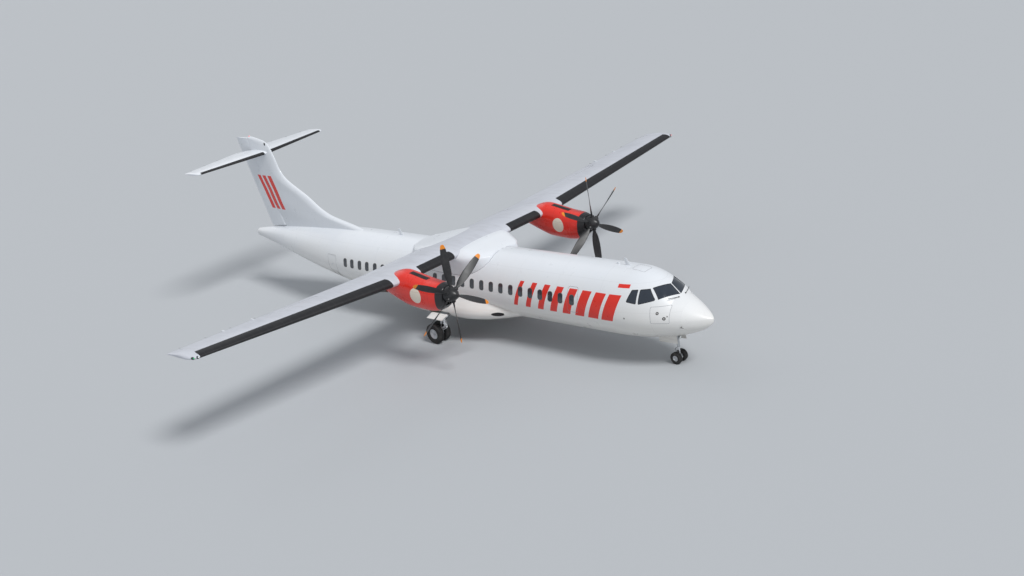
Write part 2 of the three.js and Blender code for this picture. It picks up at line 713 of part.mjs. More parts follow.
// The section widens from the crown to a shoulder and closes on the fuselage skin at its skirt
function saddleFairing() {
  const rings = SADDLE_SECTIONS.map(({ s, half, top, skirt }) => {
    const foot = sideAt(s, skirt) + SADDLE.proud;
    const shoulder = skirt + (top - skirt) * SADDLE.shoulder;
    const side = Math.max(half, sideAt(s, shoulder) + SADDLE.proud);
    const outline = [
      [0, top], [half * 0.5, top - 14], [half * 0.82, top - 60], [side, shoulder],
      [(side + foot) / 2 + SADDLE.belly, (shoulder + skirt) / 2], [foot, skirt], [foot - SADDLE.lap, skirt - 1],
    ];
    const port = outline.map(([y, z]) => place(s, y, z));
    const starboard = outline.slice(1).reverse().map(([y, z]) => place(s, -y, z));
    return [...port, ...starboard];
  });
  return loft(rings, 'x').subtract(hull(8900, 15000, -SKIN_CLEARANCE)).subtract(wingGap());
}

// The wing's centre grown a little all round, across the fuselage
function wingGap() {
  const grow = 1;
  const section = spanSection(WING_SECTIONS, 0);
  const thicker = { ...section, edge: section.edge - grow * 2, chord: section.chord + grow * 4 };
  const table = [-WING_SPLIT, WING_SPLIT].map((y) => ({ ...thicker, y, thickness: 0.1812 }));
  return aerofoilBody({ ...WING, table }, [-WING_SPLIT, WING_SPLIT]);
}

// Main gear fairing: one side of the belly bulge, from the centreline outwards
const BULGE_TOP = -600;
const BULGE_OUTLINE = [[SEAM / 2, BULGE_TOP], [1250, -200], [1560, -380], [1800, -600], [1860, -800],
  [1790, -970], [1560, -1130], [1100, -1260], [SEAM / 2, -1320]];
const BULGE_SECTIONS = [
  { s: 8500, size: 0.57 }, { s: 9000, size: 0.68 }, { s: 9600, size: 0.81 }, { s: 10400, size: 0.94 },
  { s: 11200, size: 1 }, { s: 13400, size: 1 }, { s: 14500, size: 0.93 }, { s: 15300, size: 0.8 },
  { s: 15690, size: 0.68 },
];

function gearFairing() {
  const rings = BULGE_SECTIONS.map(({ s, size }) => BULGE_OUTLINE.map(([y, z], i) => {
    const held = i === 0 || i === BULGE_OUTLINE.length - 1;
    return place(s, held ? y : y * size, BULGE_TOP + (z - BULGE_TOP) * size);
  }));
  return loft(rings, 'x').subtract(hull(8000, 16000, -SKIN_CLEARANCE)).subtract(mainBay());
}

function mainBay() {
  return block(MAIN_BAY.from, MAIN_BAY.to, MAIN_BAY.inner, MAIN_BAY.outer, -2000, MAIN_BAY.top);
}

// Tail

function finSection(z) {
  let i = 0;
  while (i < FIN_SECTIONS.length - 2 && FIN_SECTIONS[i + 1].z < z) {
    i++;
  }
  const [a, b] = [FIN_SECTIONS[i], FIN_SECTIONS[i + 1]];
  const part = (z - a.z) / (b.z - a.z);
  const mix = (key) => a[key] + (b[key] - a[key]) * part;
  return { z, edge: mix('edge'), end: mix('end'), thickness: mix('thickness') };
}

// Where the rudder's hinge line crosses a height: a straight line up the fin
const RUDDER_BASE = { z: RUDDER.bottom, s: 24690 };
const RUDDER_HEAD = { z: RUDDER.top, s: 26125 };
const RUDDER_LEAN = (RUDDER_HEAD.s - RUDDER_BASE.s) / (RUDDER_HEAD.z - RUDDER_BASE.z);
const LEAN_STRETCH = Math.hypot(1, RUDDER_LEAN);

function rudderHingeAt(z) {
  return RUDDER_BASE.s + (z - RUDDER_BASE.z) * RUDDER_LEAN;
}

// Half thickness of the fin at a height, thickest along its middle and thin at both edges
function finHalf(z, s) {
  const { edge, end, thickness } = finSection(z);
  const length = Math.min(end - edge, 3600);
  const fromEnd = (end - s) / length;
  const taper = Math.min(1, fromEnd * 1.9);
  return Math.max(6, (thickness / 2) * taper);
}

function finRing(z, last) {
  const { edge, thickness } = finSection(z);
  const stop = last ?? finSection(z).end;
  const lead = Math.min(600, (stop - edge) * 0.4);
  const rows = [
    [edge + lead * 0.12, thickness * 0.18],
    [edge + lead * 0.45, thickness * 0.34],
    [edge + lead, thickness * 0.45],
    [(edge + lead + stop) / 2, Math.min(thickness * 0.5, finHalf(z, (edge + lead + stop) / 2))],
    [stop, finHalf(z, stop)],
  ];
  const port = rows.map(([s, half]) => place(s, half, z));
  const starboard = rows.slice().reverse().map(([s, half]) => place(s, -half, z));
  return [place(edge, 0, z), ...port, ...starboard];
}

function rudderRing(z) {
  const hinge = rudderHingeAt(z);
  const radius = finHalf(z, hinge);
  const { end } = finSection(z);
  const ring = [place(end, 6, z), place(hinge, radius, z)];
  for (let k = 1; k < NOSE_STEPS; k++) {
    const angle = Math.PI / 2 - (Math.PI * k) / NOSE_STEPS;
    ring.push(place(hinge - radius * LEAN_STRETCH * Math.cos(angle), radius * Math.sin(angle), z));
  }
  ring.push(place(hinge, -radius, z), place(end, -6, z));
  return ring;
}

// The post that carries the rudder's foot, standing in the tail cone
function rudderPin(grow) {
  const [low, high] = [RUDDER.bottom - 290, RUDDER.bottom + 60].map((z) => place(rudderHingeAt(z), 0, z));
  return rod(low, high, RUDDER_PIN.radius + grow, 12);
}

const RUDDER_LINE = [RUDDER.bottom, RUDDER.top].map((z) => place(rudderHingeAt(z), 0, z));

// Everything below the rudder's foot, which slopes down from the hinge to the trailing edge
function belowRudder(drop) {
  const corner = rudderHingeAt(RUDDER.bottom);
  const { end } = finSection(RUDDER.tail);
  const slope = (RUDDER.bottom - RUDDER.tail) / (end - corner);
  const outline = [[corner - 900, RUDDER.bottom - drop], [corner, RUDDER.bottom - drop],
    [end + 900, RUDDER.tail - slope * 900 - drop], [end + 900, RUDDER.tail - 900],
    [corner - 900, RUDDER.tail - 900]];
  return plate(outline, -1000, 1000);
}

const RUDDER_PIN = { radius: 20, reach: 80 };
const RUDDER_STATIONS = [RUDDER.tail - 60, 3600, 4640, 5125, 5290, RUDDER.top];

function rudderBody() {
  const body = loft(RUDDER_STATIONS.map(rudderRing), 'z');
  return cutPins(body.subtract(belowRudder(0)), RUDDER_LINE, RUDDER_PIN);
}

function rudderRoom() {
  const rings = [...RUDDER_STATIONS, HEIGHT].map((z) => {
    const hinge = rudderHingeAt(z);
    const radius = (finHalf(Math.min(z, RUDDER.top), Math.min(hinge, RUDDER_HEAD.s)) + RUDDER_GAP) * AROUND;
    const ring = [place(28000, 900, z), place(hinge, 900, z)];
    for (let k = 0; k <= NOSE_STEPS; k++) {
      const angle = Math.PI / 2 - (Math.PI * k) / NOSE_STEPS;
      ring.push(place(hinge - radius * LEAN_STRETCH * Math.cos(angle), radius * Math.sin(angle), z));
    }
    ring.push(place(hinge, -900, z), place(28000, -900, z));
    return ring;
  });
  return loft(rings, 'z').subtract(belowRudder(RUDDER_FLOOR_GAP));
}

// Tailplane grown a little all round, to part the fin from its cap
function tailplaneGap() {
  const table = TAILPLANE_SECTIONS.slice(0, 2).map((row) => ({
    ...row, edge: row.edge - 1, chord: row.chord + 2, thickness: row.thickness + 0.0006,
  }));
  const half = aerofoilBody({ ...TAILPLANE, table }, [0, 1200]);
  return half.add(mirrored(half));
}

function finBody() {
  const heights = FIN_SECTIONS.map((row) => row.z).filter((z) => z < TAILPLANE_Z);
  const body = loft([...heights, TAILPLANE_Z + 50].map((z) => finRing(z)), 'z');
  const cap = block(20000, 28000, -600, 600, TAILPLANE_Z, 6000);
  return body.subtract(rudderRoom()).subtract(tailplaneGap()).subtract(cap)
    .subtract(hull(18000, LENGTH, -SKIN_CLEARANCE)).subtract(rudderPin(SKIN_CLEARANCE));
}

function finCap() {
  const heights = FIN_SECTIONS.map((row) => row.z).filter((z) => z > TAILPLANE_Z);
  const body = loft([TAILPLANE_Z - 50, ...heights].map((z) => finRing(z)), 'z');
  const below = block(20000, 28000, -600, 600, 4000, TAILPLANE_Z);
  const { s, radius } = BEACON;
  const top = HEIGHT - CENTRELINE_HEIGHT;
  const beacon = rod(place(s, 0, FIN_TOP - 20), place(s, 0, top), radius, 12, radius * 0.6);
  return body.add(beacon).subtract(rudderRoom()).subtract(tailplaneGap()).subtract(below);
}

// Room that the swinging rudder needs between the elevators
function rudderSwing(extra) {
  const hinge = rudderHingeAt(TAILPLANE_Z);
  const near = RUDDER_ROOM_AT_HINGE + extra;
  const far = near + (27600 - hinge) * RUDDER_ROOM_SLOPE;
  const rings = [TAILPLANE_Z - 500, TAILPLANE_Z + 500].map((z) => [
    place(hinge - near, near, z), place(hinge, near, z), place(27600, far, z),
    place(27600, -far, z), place(hinge, -near, z), place(hinge - near, -near, z),
  ]);
  return loft(rings, 'z');
}

function tailplaneBody() {
  const tips = TAILPLANE_SECTIONS.slice(1).map((row) => row.y);
  let half = aerofoilBody(TAILPLANE, [0, ...tips]);
  half = half.subtract(movingRoom(TAILPLANE, ELEVATOR_HINGE, 0, ELEVATOR.outer + MOVING_GAP));
  half = joinPins(half, ELEVATOR_TIP_PIN);
  return half.add(mirrored(half)).subtract(rudderRoom());
}

function elevatorBody() {
  const surface = movingSurface(TAILPLANE, ELEVATOR_HINGE, ELEVATOR.inner, ELEVATOR.outer);
  const cut = surface.subtract(rudderSwing(0));
  return cutPins(cut, ELEVATOR_TIP_PIN);
}

// Power units, modelled to port

function nacelleRing({ s, top, bottom, half }) {
  const ring = [];
  const middle = (top + bottom) / 2;
  for (let i = 0; i < NACELLE_SIDES; i++) {
    const angle = (i * 2 * Math.PI) / NACELLE_SIDES;
    const [across, up] = [Math.sin(angle), Math.cos(angle)];
    const y = ENGINE_Y + half * Math.sign(across) * Math.abs(across) ** 0.8;
    ring.push(place(s, y, middle + ((top - bottom) / 2) * Math.sign(up) * Math.abs(up) ** 0.8));
  }
  return ring;
}

function engineSpace(grow) {
  const { from, to, half, bottom, top, shaftRadius } = ENGINE;
  const [inner, outer] = [ENGINE_Y - half - grow, ENGINE_Y + half + grow];
  const core = block(from - grow, to + grow, inner, outer, bottom - grow, top + grow);
  const front = place(SPINNER.base + SKIN_CLEARANCE, ENGINE_Y, SHAFT_Z);
  const shaft = rod(front, place(from + 20, ENGINE_Y, SHAFT_Z), shaftRadius + grow, 20);
  return core.add(shaft);
}

function nacelleBody() {
  const shell = loft(NACELLE_SECTIONS.map(nacelleRing), 'x');
  const { from, to, half, bottom, top } = INTAKE;
  const mouth = block(from, to, ENGINE_Y - half, ENGINE_Y + half, bottom, top);
  return shell.subtract(engineSpace(SEAM)).subtract(wingAtNacelle()).subtract(mouth);
}

function wingAtNacelle() {
  const section = spanSection(WING_SECTIONS, 4000);
  const table = [3000, 4450, 5000].map((y) => {
    const row = spanSection(WING_SECTIONS, y);
    return { ...row, edge: row.edge - 2, chord: row.chord + 4, thickness: section.thickness * 1.006 };
  });
  return aerofoilBody({ ...WING, table }, [3000, 4450, 5000]);
}

// One blade standing up from the hub: radius, chord, pitch in degrees, thickness
const BLADE_ROWS = [
  { r: 150, chord: 110, pitch: 62, thick: 110 },
  { r: 330, chord: 118, pitch: 60, thick: 90 },
  { r: 560, chord: 235, pitch: 54, thick: 48 },
  { r: 900, chord: 300, pitch: 46, thick: 32 },
  { r: 1350, chord: 290, pitch: 38, thick: 22 },
  { r: 1700, chord: 235, pitch: 34, thick: 16 },
  { r: 1900, chord: 160, pitch: 32, thick: 12 },
  { r: PROPELLER.radius, chord: 80, pitch: 32, thick: 8 },
];

const BLADE_SIDES = 6;

function bladeBody() {
  const rings = BLADE_ROWS.map(({ r, chord, pitch, thick }) => {
    const turn = THREE.MathUtils.degToRad(pitch);
    const ring = [];
    for (let i = 0; i < BLADE_SIDES; i++) {
      const angle = (i * 2 * Math.PI) / BLADE_SIDES;
      const [along, across] = [(chord / 2) * Math.cos(angle), (thick / 2) * Math.sin(angle)];
      const aft = along * Math.sin(turn) + across * Math.cos(turn);
      const side = along * Math.cos(turn) - across * Math.sin(turn);
      ring.push(new THREE.Vector3(-aft, side, r));
    }
    return ring;
  });
  return loft(rings, 'z');
}

function aboutShaft(body, blade) {
  const turned = body.rotate([(blade * 360) / PROPELLER.blades, 0, 0]);
  return turned.translate([-PROPELLER.plane, ENGINE_Y, SHAFT_Z]);
}

function propellerBody() {
  const { plane, hubRadius } = PROPELLER;
  const centre = place(plane, ENGINE_Y, SHAFT_Z);
  const back = SPINNER.base - plane;
  const plateRadius = SPINNER.radius - SPINNER.wall - SKIN_CLEARANCE;
  let body = turned([[0, 150], [120, 150], [hubRadius, 90], [hubRadius, -120],
    [plateRadius - 1.5, -back + 12], [plateRadius, -back], [0, -back]], centre, 'x', 20);
  for (let blade = 0; blade < PROPELLER.blades; blade++) {
    body = body.add(aboutShaft(bladeBody(), blade));
  }
  return body;
}

// Spinner shell: rounded cone open at the back, with a hole round each blade root
function spinnerBody() {
  const { tip, base, radius, wall } = SPINNER;
  const length = base - tip;
  const steps = 5;
  const outer = [];
  const inner = [];
  for (let k = 0; k <= steps; k++) {
    const part = k / steps;
    const width = radius * (1 - (1 - part) ** 2) ** 0.62;
    outer.push([width, -part * length]);
    inner.push([Math.max(0, width - wall), -part * length - (k === steps ? 0 : wall * 2)]);
  }
  const inside = inner.filter(([r], k) => k === 0 || r > 0);
  inside[inside.length - 1] = [radius - wall, -length];
  const profile = [...outer, ...inside.reverse()];
  let body = turned(profile, place(tip, ENGINE_Y, SHAFT_Z), 'x', 20);
  for (let blade = 0; blade < PROPELLER.blades; blade++) {
    const hole = rod(new THREE.Vector3(0, 0, 180), new THREE.Vector3(0, 0, 420), PROPELLER.rootRadius + 10, 12);
    body = body.subtract(aboutShaft(hole, blade));
  }
  return body;
}

// Landing gear

// Turned about Y with a flat of its many-sided rim facing down, at the full radius
function wheelTurned(profile, centre, sides) {
  const stretch = 1 / Math.cos(Math.PI / sides);
  return turned(profile.map(([r, d]) => [r * stretch, d]), centre, 'y', sides, Math.PI / sides);
}

function tyreProfile(radius, width, rim) {
  const half = width / 2;
  const shoulder = half * 0.72;
  return [
    [rim, -shoulder], [(rim + radius) / 2, -half], [radius * 0.93, -half * 0.88], [radius, -half * 0.4],
    [radius, half * 0.4], [radius * 0.93, half * 0.88], [(rim + radius) / 2, half],
    [rim, shoulder], [rim, -shoulder],
  ];
}

function tyreBody(gear, s, y, z, sides) {
  return wheelTurned(tyreProfile(gear.tyreRadius, gear.tyreWidth, gear.rim), place(s, y, z), sides);
}

// Two rims on one axle, turned as one
function axleBody(gear, s, y, z, axle, sides) {
  const inner = gear.wheelSpacing / 2 - gear.tyreWidth * 0.36;
  const outer = gear.wheelSpacing / 2 + gear.tyreWidth * 0.36;
  const rim = gear.rim - SEAM;
  const dish = rim * 0.62;
  const profile = [
    [0, -outer + 20], [dish * 0.5, -outer + 20], [dish, -outer + 45], [rim, -outer], [rim, -inner],
    [axle, -inner + 22], [axle, inner - 22], [rim, inner], [rim, outer], [dish, outer - 45],
    [dish * 0.5, outer - 20], [0, outer - 20],
  ];
  return wheelTurned(profile, place(s, y, z), sides);
}

const MAIN_AXLE_Z = MAIN_GEAR.tyreRadius - CENTRELINE_HEIGHT;
const MAIN_AXLE_RADIUS = 42;
const ARM_PIVOT = { s: 12010, z: MAIN_AXLE_Z + 300 };
const ARM_HALF = 42;

function mainArm() {
  const { s, y } = MAIN_GEAR;
  const { s: pivot, z: high } = ARM_PIVOT;
  const outline = [
    [pivot - 55, high - 20], [pivot - 20, high - 60], [s + 20, MAIN_AXLE_Z - 70], [s + 70, MAIN_AXLE_Z - 20],
    [s + 60, MAIN_AXLE_Z + 50], [s - 40, MAIN_AXLE_Z + 90], [pivot + 40, high + 60], [pivot - 30, high + 55],
  ];
  const eye = rod(place(s, y - 80, MAIN_AXLE_Z), place(s, y + 80, MAIN_AXLE_Z), MAIN_AXLE_RADIUS + 0.9, 24);
  return plate(outline, y - ARM_HALF, y + ARM_HALF).subtract(eye);
}

// Main leg: a beam out over the wheels and a strut down in front of them, forked on the arm
const LEG_BEAM = { s: 12080, rootZ: -960, tipZ: -1030 };

function mainBeamAndStrut(grow) {
  const { y } = MAIN_GEAR;
  const { s, rootZ, tipZ } = LEG_BEAM;
  const [root, tip] = [place(s, MAIN_BAY.inner - 20, rootZ), place(s, y + 30 + grow, tipZ)];
  const beam = rod(root, tip, 85 + grow, 12, 75 + grow);
  const foot = place(ARM_PIVOT.s - 10, y, ARM_PIVOT.z - 10);
  return beam.add(rod(place(s - 40, y, tipZ), foot, 72 + grow, 12, 66 + grow));
}

function mainLeg() {
  const { y } = MAIN_GEAR;
  const slot = block(ARM_PIVOT.s - 200, ARM_PIVOT.s + 300, y - ARM_HALF - SEAM, y + ARM_HALF + SEAM,
    ARM_PIVOT.z - 300, ARM_PIVOT.z + 75);
  const wall = block(MAIN_BAY.from, MAIN_BAY.to, 0, MAIN_BAY.inner + SEAM, -1400, -700);
  return mainBeamAndStrut(0).subtract(slot).subtract(wall);
}

function mainShock() {
  const { y } = MAIN_GEAR;
  const foot = place(12330, y, ARM_PIVOT.z - 78);
  const head = place(12190, y, LEG_BEAM.tipZ - 68);
  const body = rod(foot, head, 34, 12).add(rod(foot.clone().lerp(head, 0.45), head, 46, 12));
  return body.subtract(mainBeamAndStrut(SKIN_CLEARANCE)).subtract(armOuter());
}

function armOuter() {
  return mainArm().add(mainArm().translate([0, 0, SEAM]));
}

function mainDoor() {
  const { y } = MAIN_GEAR;
  const { tipZ } = LEG_BEAM;
  const rings = [11880, 12800].map((s) => [
    place(s, y - 90, tipZ + 110), place(s, y + 260, tipZ - 10),
    place(s, y + 270, tipZ + 12), place(s, y - 82, tipZ + 134),
  ]);
  const plateBody = loft(rings, 'x');
  const bracket = block(12040, 12120, y - 40, y + 20, tipZ + 60, tipZ + 110);
  return plateBody.add(bracket).subtract(mainBeamAndStrut(SKIN_CLEARANCE * 2));
}

// Nose gear
const NOSE_AXLE_Z = NOSE_GEAR.tyreRadius - CENTRELINE_HEIGHT;
const NOSE_AXLE_RADIUS = 26;
const NOSE_COLLAR_Z = NOSE_AXLE_Z + 430;

function noseLeg() {
  const body = rod(place(NOSE_LEG_S, 0, NOSE_BAY.top - SEAM), place(NOSE_LEG_S, 0, NOSE_COLLAR_Z), 62, 16);
  const brace = rod(place(NOSE_LEG_S, 0, NOSE_COLLAR_Z + 290), place(2330, 0, NOSE_BAY.top - 60), 30, 10);
  const pad = block(2290, 2370, -40, 40, NOSE_BAY.top - 90, NOSE_BAY.top - SEAM);
  const [head, mouth] = [NOSE_COLLAR_Z + 120, NOSE_COLLAR_Z - 50].map((z) => place(NOSE_LEG_S, 0, z));
  const bore = rod(head, mouth, 42.8, 24);
  return body.add(brace).add(pad).subtract(bore);
}

function noseFork() {
  const stem = rod(place(NOSE_LEG_S, 0, NOSE_COLLAR_Z + 119.7), place(NOSE_LEG_S, 0, NOSE_AXLE_Z + 20), 42, 24);
  const knuckle = block(NOSE_LEG_S - 45, NOSE_GEAR.s + 50, -48, 48, NOSE_AXLE_Z - 50, NOSE_AXLE_Z + 70);
  const lug = block(NOSE_LEG_S - 110, NOSE_LEG_S - 44, -20, 20, NOSE_AXLE_Z - 20, NOSE_AXLE_Z + 40);
  const ends = [-80, 80].map((y) => place(NOSE_GEAR.s, y, NOSE_AXLE_Z));
  const eye = rod(...ends, NOSE_AXLE_RADIUS + 0.6, 24);
  return stem.add(knuckle).add(lug).subtract(eye);
}

function noseDoor() {
  const outer = NOSE_BAY.half - SKIN_CLEARANCE;
  return block(1560, 2380, outer - 22, outer, -1290, -900);
}

// Assembly

function material(colour) {
  const [color, roughness, metalness] = COLOURS[colour];
  return new THREE.MeshStandardMaterial({ color, roughness, metalness });
}

function mesh(name, body, colour) {
  const part = new THREE.Mesh(geometryOf(body), material(colour));
  part.name = name;
  return part;
}

const airframe = new THREE.Group();
airframe.position.set(LENGTH / 2, 0, CENTRELINE_HEIGHT);

function addPair(name, body, colour) {
  const port = mesh(`${name}_left`, body, colour);
  const starboard = mesh(`${name}_right`, body, colour);
  starboard.scale.y = -1;
  airframe.add(port, starboard);
}

const deeperDoor = { ...SERVICE_DOOR, wall: SERVICE_DOOR.wall + SKIN_CLEARANCE };
const serviceWay = doorway(SERVICE_DOOR, SERVICE_LINE, 0, 1200);
const serviceDoorCut = mirrored(sidePanel(deeperDoor, SERVICE_LINE, 0).add(serviceWay));
const noseBay = block(NOSE_BAY.from, NOSE_BAY.to, -NOSE_BAY.half, NOSE_BAY.half, -2000, NOSE_BAY.top);

function withDoorway(body, door, line) {
  return joinPins(body.subtract(doorPocket(door, line)), line, DOOR_PIN);
}

function hingedDoor(door, line) {
  return cutPins(sidePanel(door, line, MOVING_GAP), line, DOOR_PIN);
}

const FUSELAGE_CUTS = {
  cockpit_section: (body) => cockpitSection(body).subtract(noseBay),
  forward_fuselage: (body) => withDoorway(body, CARGO_DOOR, CARGO_HINGE),
  centre_fuselage: (body) => body.subtract(mainBay()).subtract(mirrored(mainBay())).subtract(wingGap()),
  aft_fuselage: (body) => withDoorway(body, PASSENGER_DOOR, PASSENGER_HINGE).subtract(serviceDoorCut),
  tail_cone: (body) => body.add(rudderPin(0)),
};

for (const { name, from, to, rings } of FUSELAGE_LENGTHS) {
  const start = from === 0 ? from : from + SEAM;
  const body = loft([fuselageRing(from, 0, start), ...[...rings, to].map((s) => fuselageRing(s, 0))], 'x');
  const cut = FUSELAGE_CUTS[name] ? FUSELAGE_CUTS[name](body) : body;
  airframe.add(mesh(name, cut, 'white'));
}

airframe.add(
  mesh('cockpit_glazing', glazingBand(SEAM), 'glass'),
  mesh('cargo_door', hingedDoor(CARGO_DOOR, CARGO_HINGE), 'white'),
  mesh('passenger_door', hingedDoor(PASSENGER_DOOR, PASSENGER_HINGE), 'white'),
  mesh('service_door', mirrored(sidePanel(SERVICE_DOOR, SERVICE_LINE, SEAM)), 'white'),
  mesh('wing_fuselage_fairing', saddleFairing(), 'white'),
  mesh('wing_centre', wingCentre(), 'wingGrey'),
  mesh('fin', finBody(), 'white'),
  mesh('fin_cap', finCap(), 'white'),
  mesh('rudder', rudderBody(), 'white'),
  mesh('tailplane', tailplaneBody(), 'white'),
);

addPair('wing_outer', wingOuter(), 'wingGrey');
addPair('inner_flap', flapBody(INNER_FLAP), 'wingGrey');
addPair('outer_flap', flapBody(OUTER_FLAP), 'wingGrey');
addPair('aileron', aileronBody(), 'wingGrey');
addPair('spoiler', spoilerBody(), 'wingGrey');
addPair('elevator', elevatorBody(), 'white');
addPair('main_gear_fairing', gearFairing(), 'white');
addPair('nacelle', nacelleBody(), 'red');
addPair('engine', engineSpace(0), 'steel');
addPair('propeller', propellerBody(), 'blade');
addPair('spinner', spinnerBody(), 'black');
addPair('main_gear_leg', mainLeg(), 'steel');
addPair('main_gear_arm', mainArm(), 'steel');
addPair('main_gear_shock', mainShock(), 'steel');
addPair('main_gear_door', mainDoor(), 'white');

const { s: mainS, y: mainY, wheelSpacing } = MAIN_GEAR;
addPair('main_axle', axleBody(MAIN_GEAR, mainS, mainY, MAIN_AXLE_Z, MAIN_AXLE_RADIUS, 24), 'steel');
addPair('main_tyre_inner', tyreBody(MAIN_GEAR, mainS, mainY - wheelSpacing / 2, MAIN_AXLE_Z, 24), 'rubber');
addPair('main_tyre_outer', tyreBody(MAIN_GEAR, mainS, mainY + wheelSpacing / 2, MAIN_AXLE_Z, 24), 'rubber');

airframe.add(
  mesh('nose_gear_leg', noseLeg(), 'steel'),
  mesh('nose_gear_fork', noseFork(), 'steel'),
  mesh('nose_axle', axleBody(NOSE_GEAR, NOSE_GEAR.s, 0, NOSE_AXLE_Z, NOSE_AXLE_RADIUS, 20), 'steel'),
);
addPair('nose_gear_door', noseDoor(), 'white');
addPair('nose_tyre', tyreBody(NOSE_GEAR, NOSE_GEAR.s, NOSE_GEAR.wheelSpacing / 2, NOSE_AXLE_Z, 20), 'rubber');

const aircraft = new THREE.Group();
aircraft.add(airframe);

export default aircraft;
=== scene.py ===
import json
from math import acos, asin, atan2, ceil, copysign, cos, hypot, pi, radians, sin, sqrt, tan
from types import SimpleNamespace as Sizes

import bpy
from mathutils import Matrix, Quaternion, Vector


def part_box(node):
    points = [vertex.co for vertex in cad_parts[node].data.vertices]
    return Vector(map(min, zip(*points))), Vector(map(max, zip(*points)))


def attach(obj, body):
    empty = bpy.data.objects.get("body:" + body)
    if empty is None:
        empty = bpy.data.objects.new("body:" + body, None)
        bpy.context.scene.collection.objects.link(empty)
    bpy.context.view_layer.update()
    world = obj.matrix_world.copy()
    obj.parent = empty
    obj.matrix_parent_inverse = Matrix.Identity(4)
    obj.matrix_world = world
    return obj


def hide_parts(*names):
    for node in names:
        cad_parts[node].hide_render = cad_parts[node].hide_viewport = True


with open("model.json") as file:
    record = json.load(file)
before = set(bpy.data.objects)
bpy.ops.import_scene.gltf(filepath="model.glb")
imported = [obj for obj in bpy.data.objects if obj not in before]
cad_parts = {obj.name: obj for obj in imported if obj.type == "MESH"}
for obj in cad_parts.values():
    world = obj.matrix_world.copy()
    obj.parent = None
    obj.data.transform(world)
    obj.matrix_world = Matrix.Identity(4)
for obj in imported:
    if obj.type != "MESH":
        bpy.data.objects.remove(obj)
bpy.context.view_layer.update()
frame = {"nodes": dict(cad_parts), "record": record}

# %% [markdown]
# The picture was taken from ahead, above and to starboard. The camera here stands in that same
# direction and leans by the same angle, with the lens that the fitted view gives.

# %% Camera
CAMERA_PLACE = (40.538, -33.808, 19.473)
CAMERA_TURN = (0.774292, 0.505105, 0.28121, 0.257414)
LENS = 46.48
SENSOR_WIDTH = 36
FAR_LIMIT = 2000
bpy.ops.object.camera_add(location=CAMERA_PLACE)
camera = bpy.context.object
camera.rotation_mode = "QUATERNION"
camera.rotation_quaternion = Quaternion(CAMERA_TURN)
camera.data.lens = LENS
camera.data.sensor_width = SENSOR_WIDTH
camera.data.clip_end = FAR_LIMIT
bpy.context.scene.camera = camera
print("camera", camera.location[:])

# %% [markdown]
# A plain pale floor fills the view from every side. A broad soft sun is the main light, a weaker
# one fills the shadow side, and the pale world lifts the rest.

# %% Floor and light
FLOOR_SIZE = 700
FLOOR_COLOUR = (0.5, 0.52, 0.54)
FLOOR_ROUGHNESS = 0.9
SKY_COLOUR = (0.9, 0.94, 1.0)
SKY_STRENGTH = 0.44
bpy.ops.mesh.primitive_plane_add(size=FLOOR_SIZE)
floor = bpy.context.object
floor.name = "floor"
floor_paint = bpy.data.materials.new("floor_paint")
floor_paint.use_nodes = True
floor_inputs = floor_paint.node_tree.nodes["Principled BSDF"].inputs
floor_inputs["Base Color"].default_value = (*FLOOR_COLOUR, 1)
floor_inputs["Roughness"].default_value = FLOOR_ROUGHNESS
floor.data.materials.append(floor_paint)

LIGHTS = [  # tilt forward, tilt sideways, turn, strength, softness
    (40, 16, 62, 2.25, 0.3),
    (58, -30, -80, 0.35, 0.9),
]
for *angles, strength, softness in LIGHTS:
    bpy.ops.object.light_add(type="SUN", rotation=[radians(angle) for angle in angles])
    bpy.context.object.data.energy = strength
    bpy.context.object.data.angle = softness
world = bpy.data.worlds.new("studio")
bpy.context.scene.world = world
world.use_nodes = True
sky_inputs = world.node_tree.nodes["Background"].inputs
sky_inputs["Color"].default_value = (*SKY_COLOUR, 1)
sky_inputs["Strength"].default_value = SKY_STRENGTH
bpy.context.scene.view_settings.view_transform = "Standard"
print("lights", len(LIGHTS))

# %% [markdown]
# Places on an aircraft are given by stations: s is the distance aft of the nose tip, y goes to
# port, and z is the height above the fuselage's widest line. One function turns them into the
# scene's metres.

# %% Places
NOSE_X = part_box("nose_radome")[1].x
LENGTH = NOSE_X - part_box("tail_cone")[0].x
HALF_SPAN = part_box("wing_outer_left")[1].y
WIDEST = 2.14
print("length", round(LENGTH, 3), "half span", round(HALF_SPAN, 3))


def at(s, y, z):
    return Vector((NOSE_X - s, y, WIDEST + z))


# %% [markdown]
# Most sections are given at a few stations only. A cubic curve through those rows gives the
# stations between them, so that a skin has no corners where its table has rows.

# %% Curves through a table
def between(rows, key):
    """The values of a table at a place between its rows, on a smooth curve through the rows."""
    last = len(rows) - 1
    i = 0
    while i < last - 1 and rows[i + 1][0] < key:
        i += 1
    before, a, b, after = rows[max(i - 1, 0)], rows[i], rows[i + 1], rows[min(i + 2, last)]
    span = b[0] - a[0]
    t = (key - a[0]) / span
    values = []
    for k in range(1, len(a)):
        slope_a = (b[k] - before[k]) / (b[0] - before[0]) * span
        slope_b = (after[k] - a[k]) / (after[0] - a[0]) * span
        values.append(
            (2 * t**3 - 3 * t**2 + 1) * a[k]
            + (t**3 - 2 * t**2 + t) * slope_a
            + (3 * t**2 - 2 * t**3) * b[k]
            + (t**3 - t**2) * slope_b
        )
    return values


def steps(start, end, count):
    return [start + (end - start) * i / count for i in range(count + 1)]


def places_along(rows, count):
    """Even steps along a table, and the places of its rows."""
    return sorted({*steps(rows[0][0], rows[-1][0], count), *(row[0] for row in rows)})


def eased(start, end, count):
    """Places between two ends that crowd towards both of them."""
    return [start + (end - start) * (1 - cos(pi * k / count)) / 2 for k in range(count + 1)]


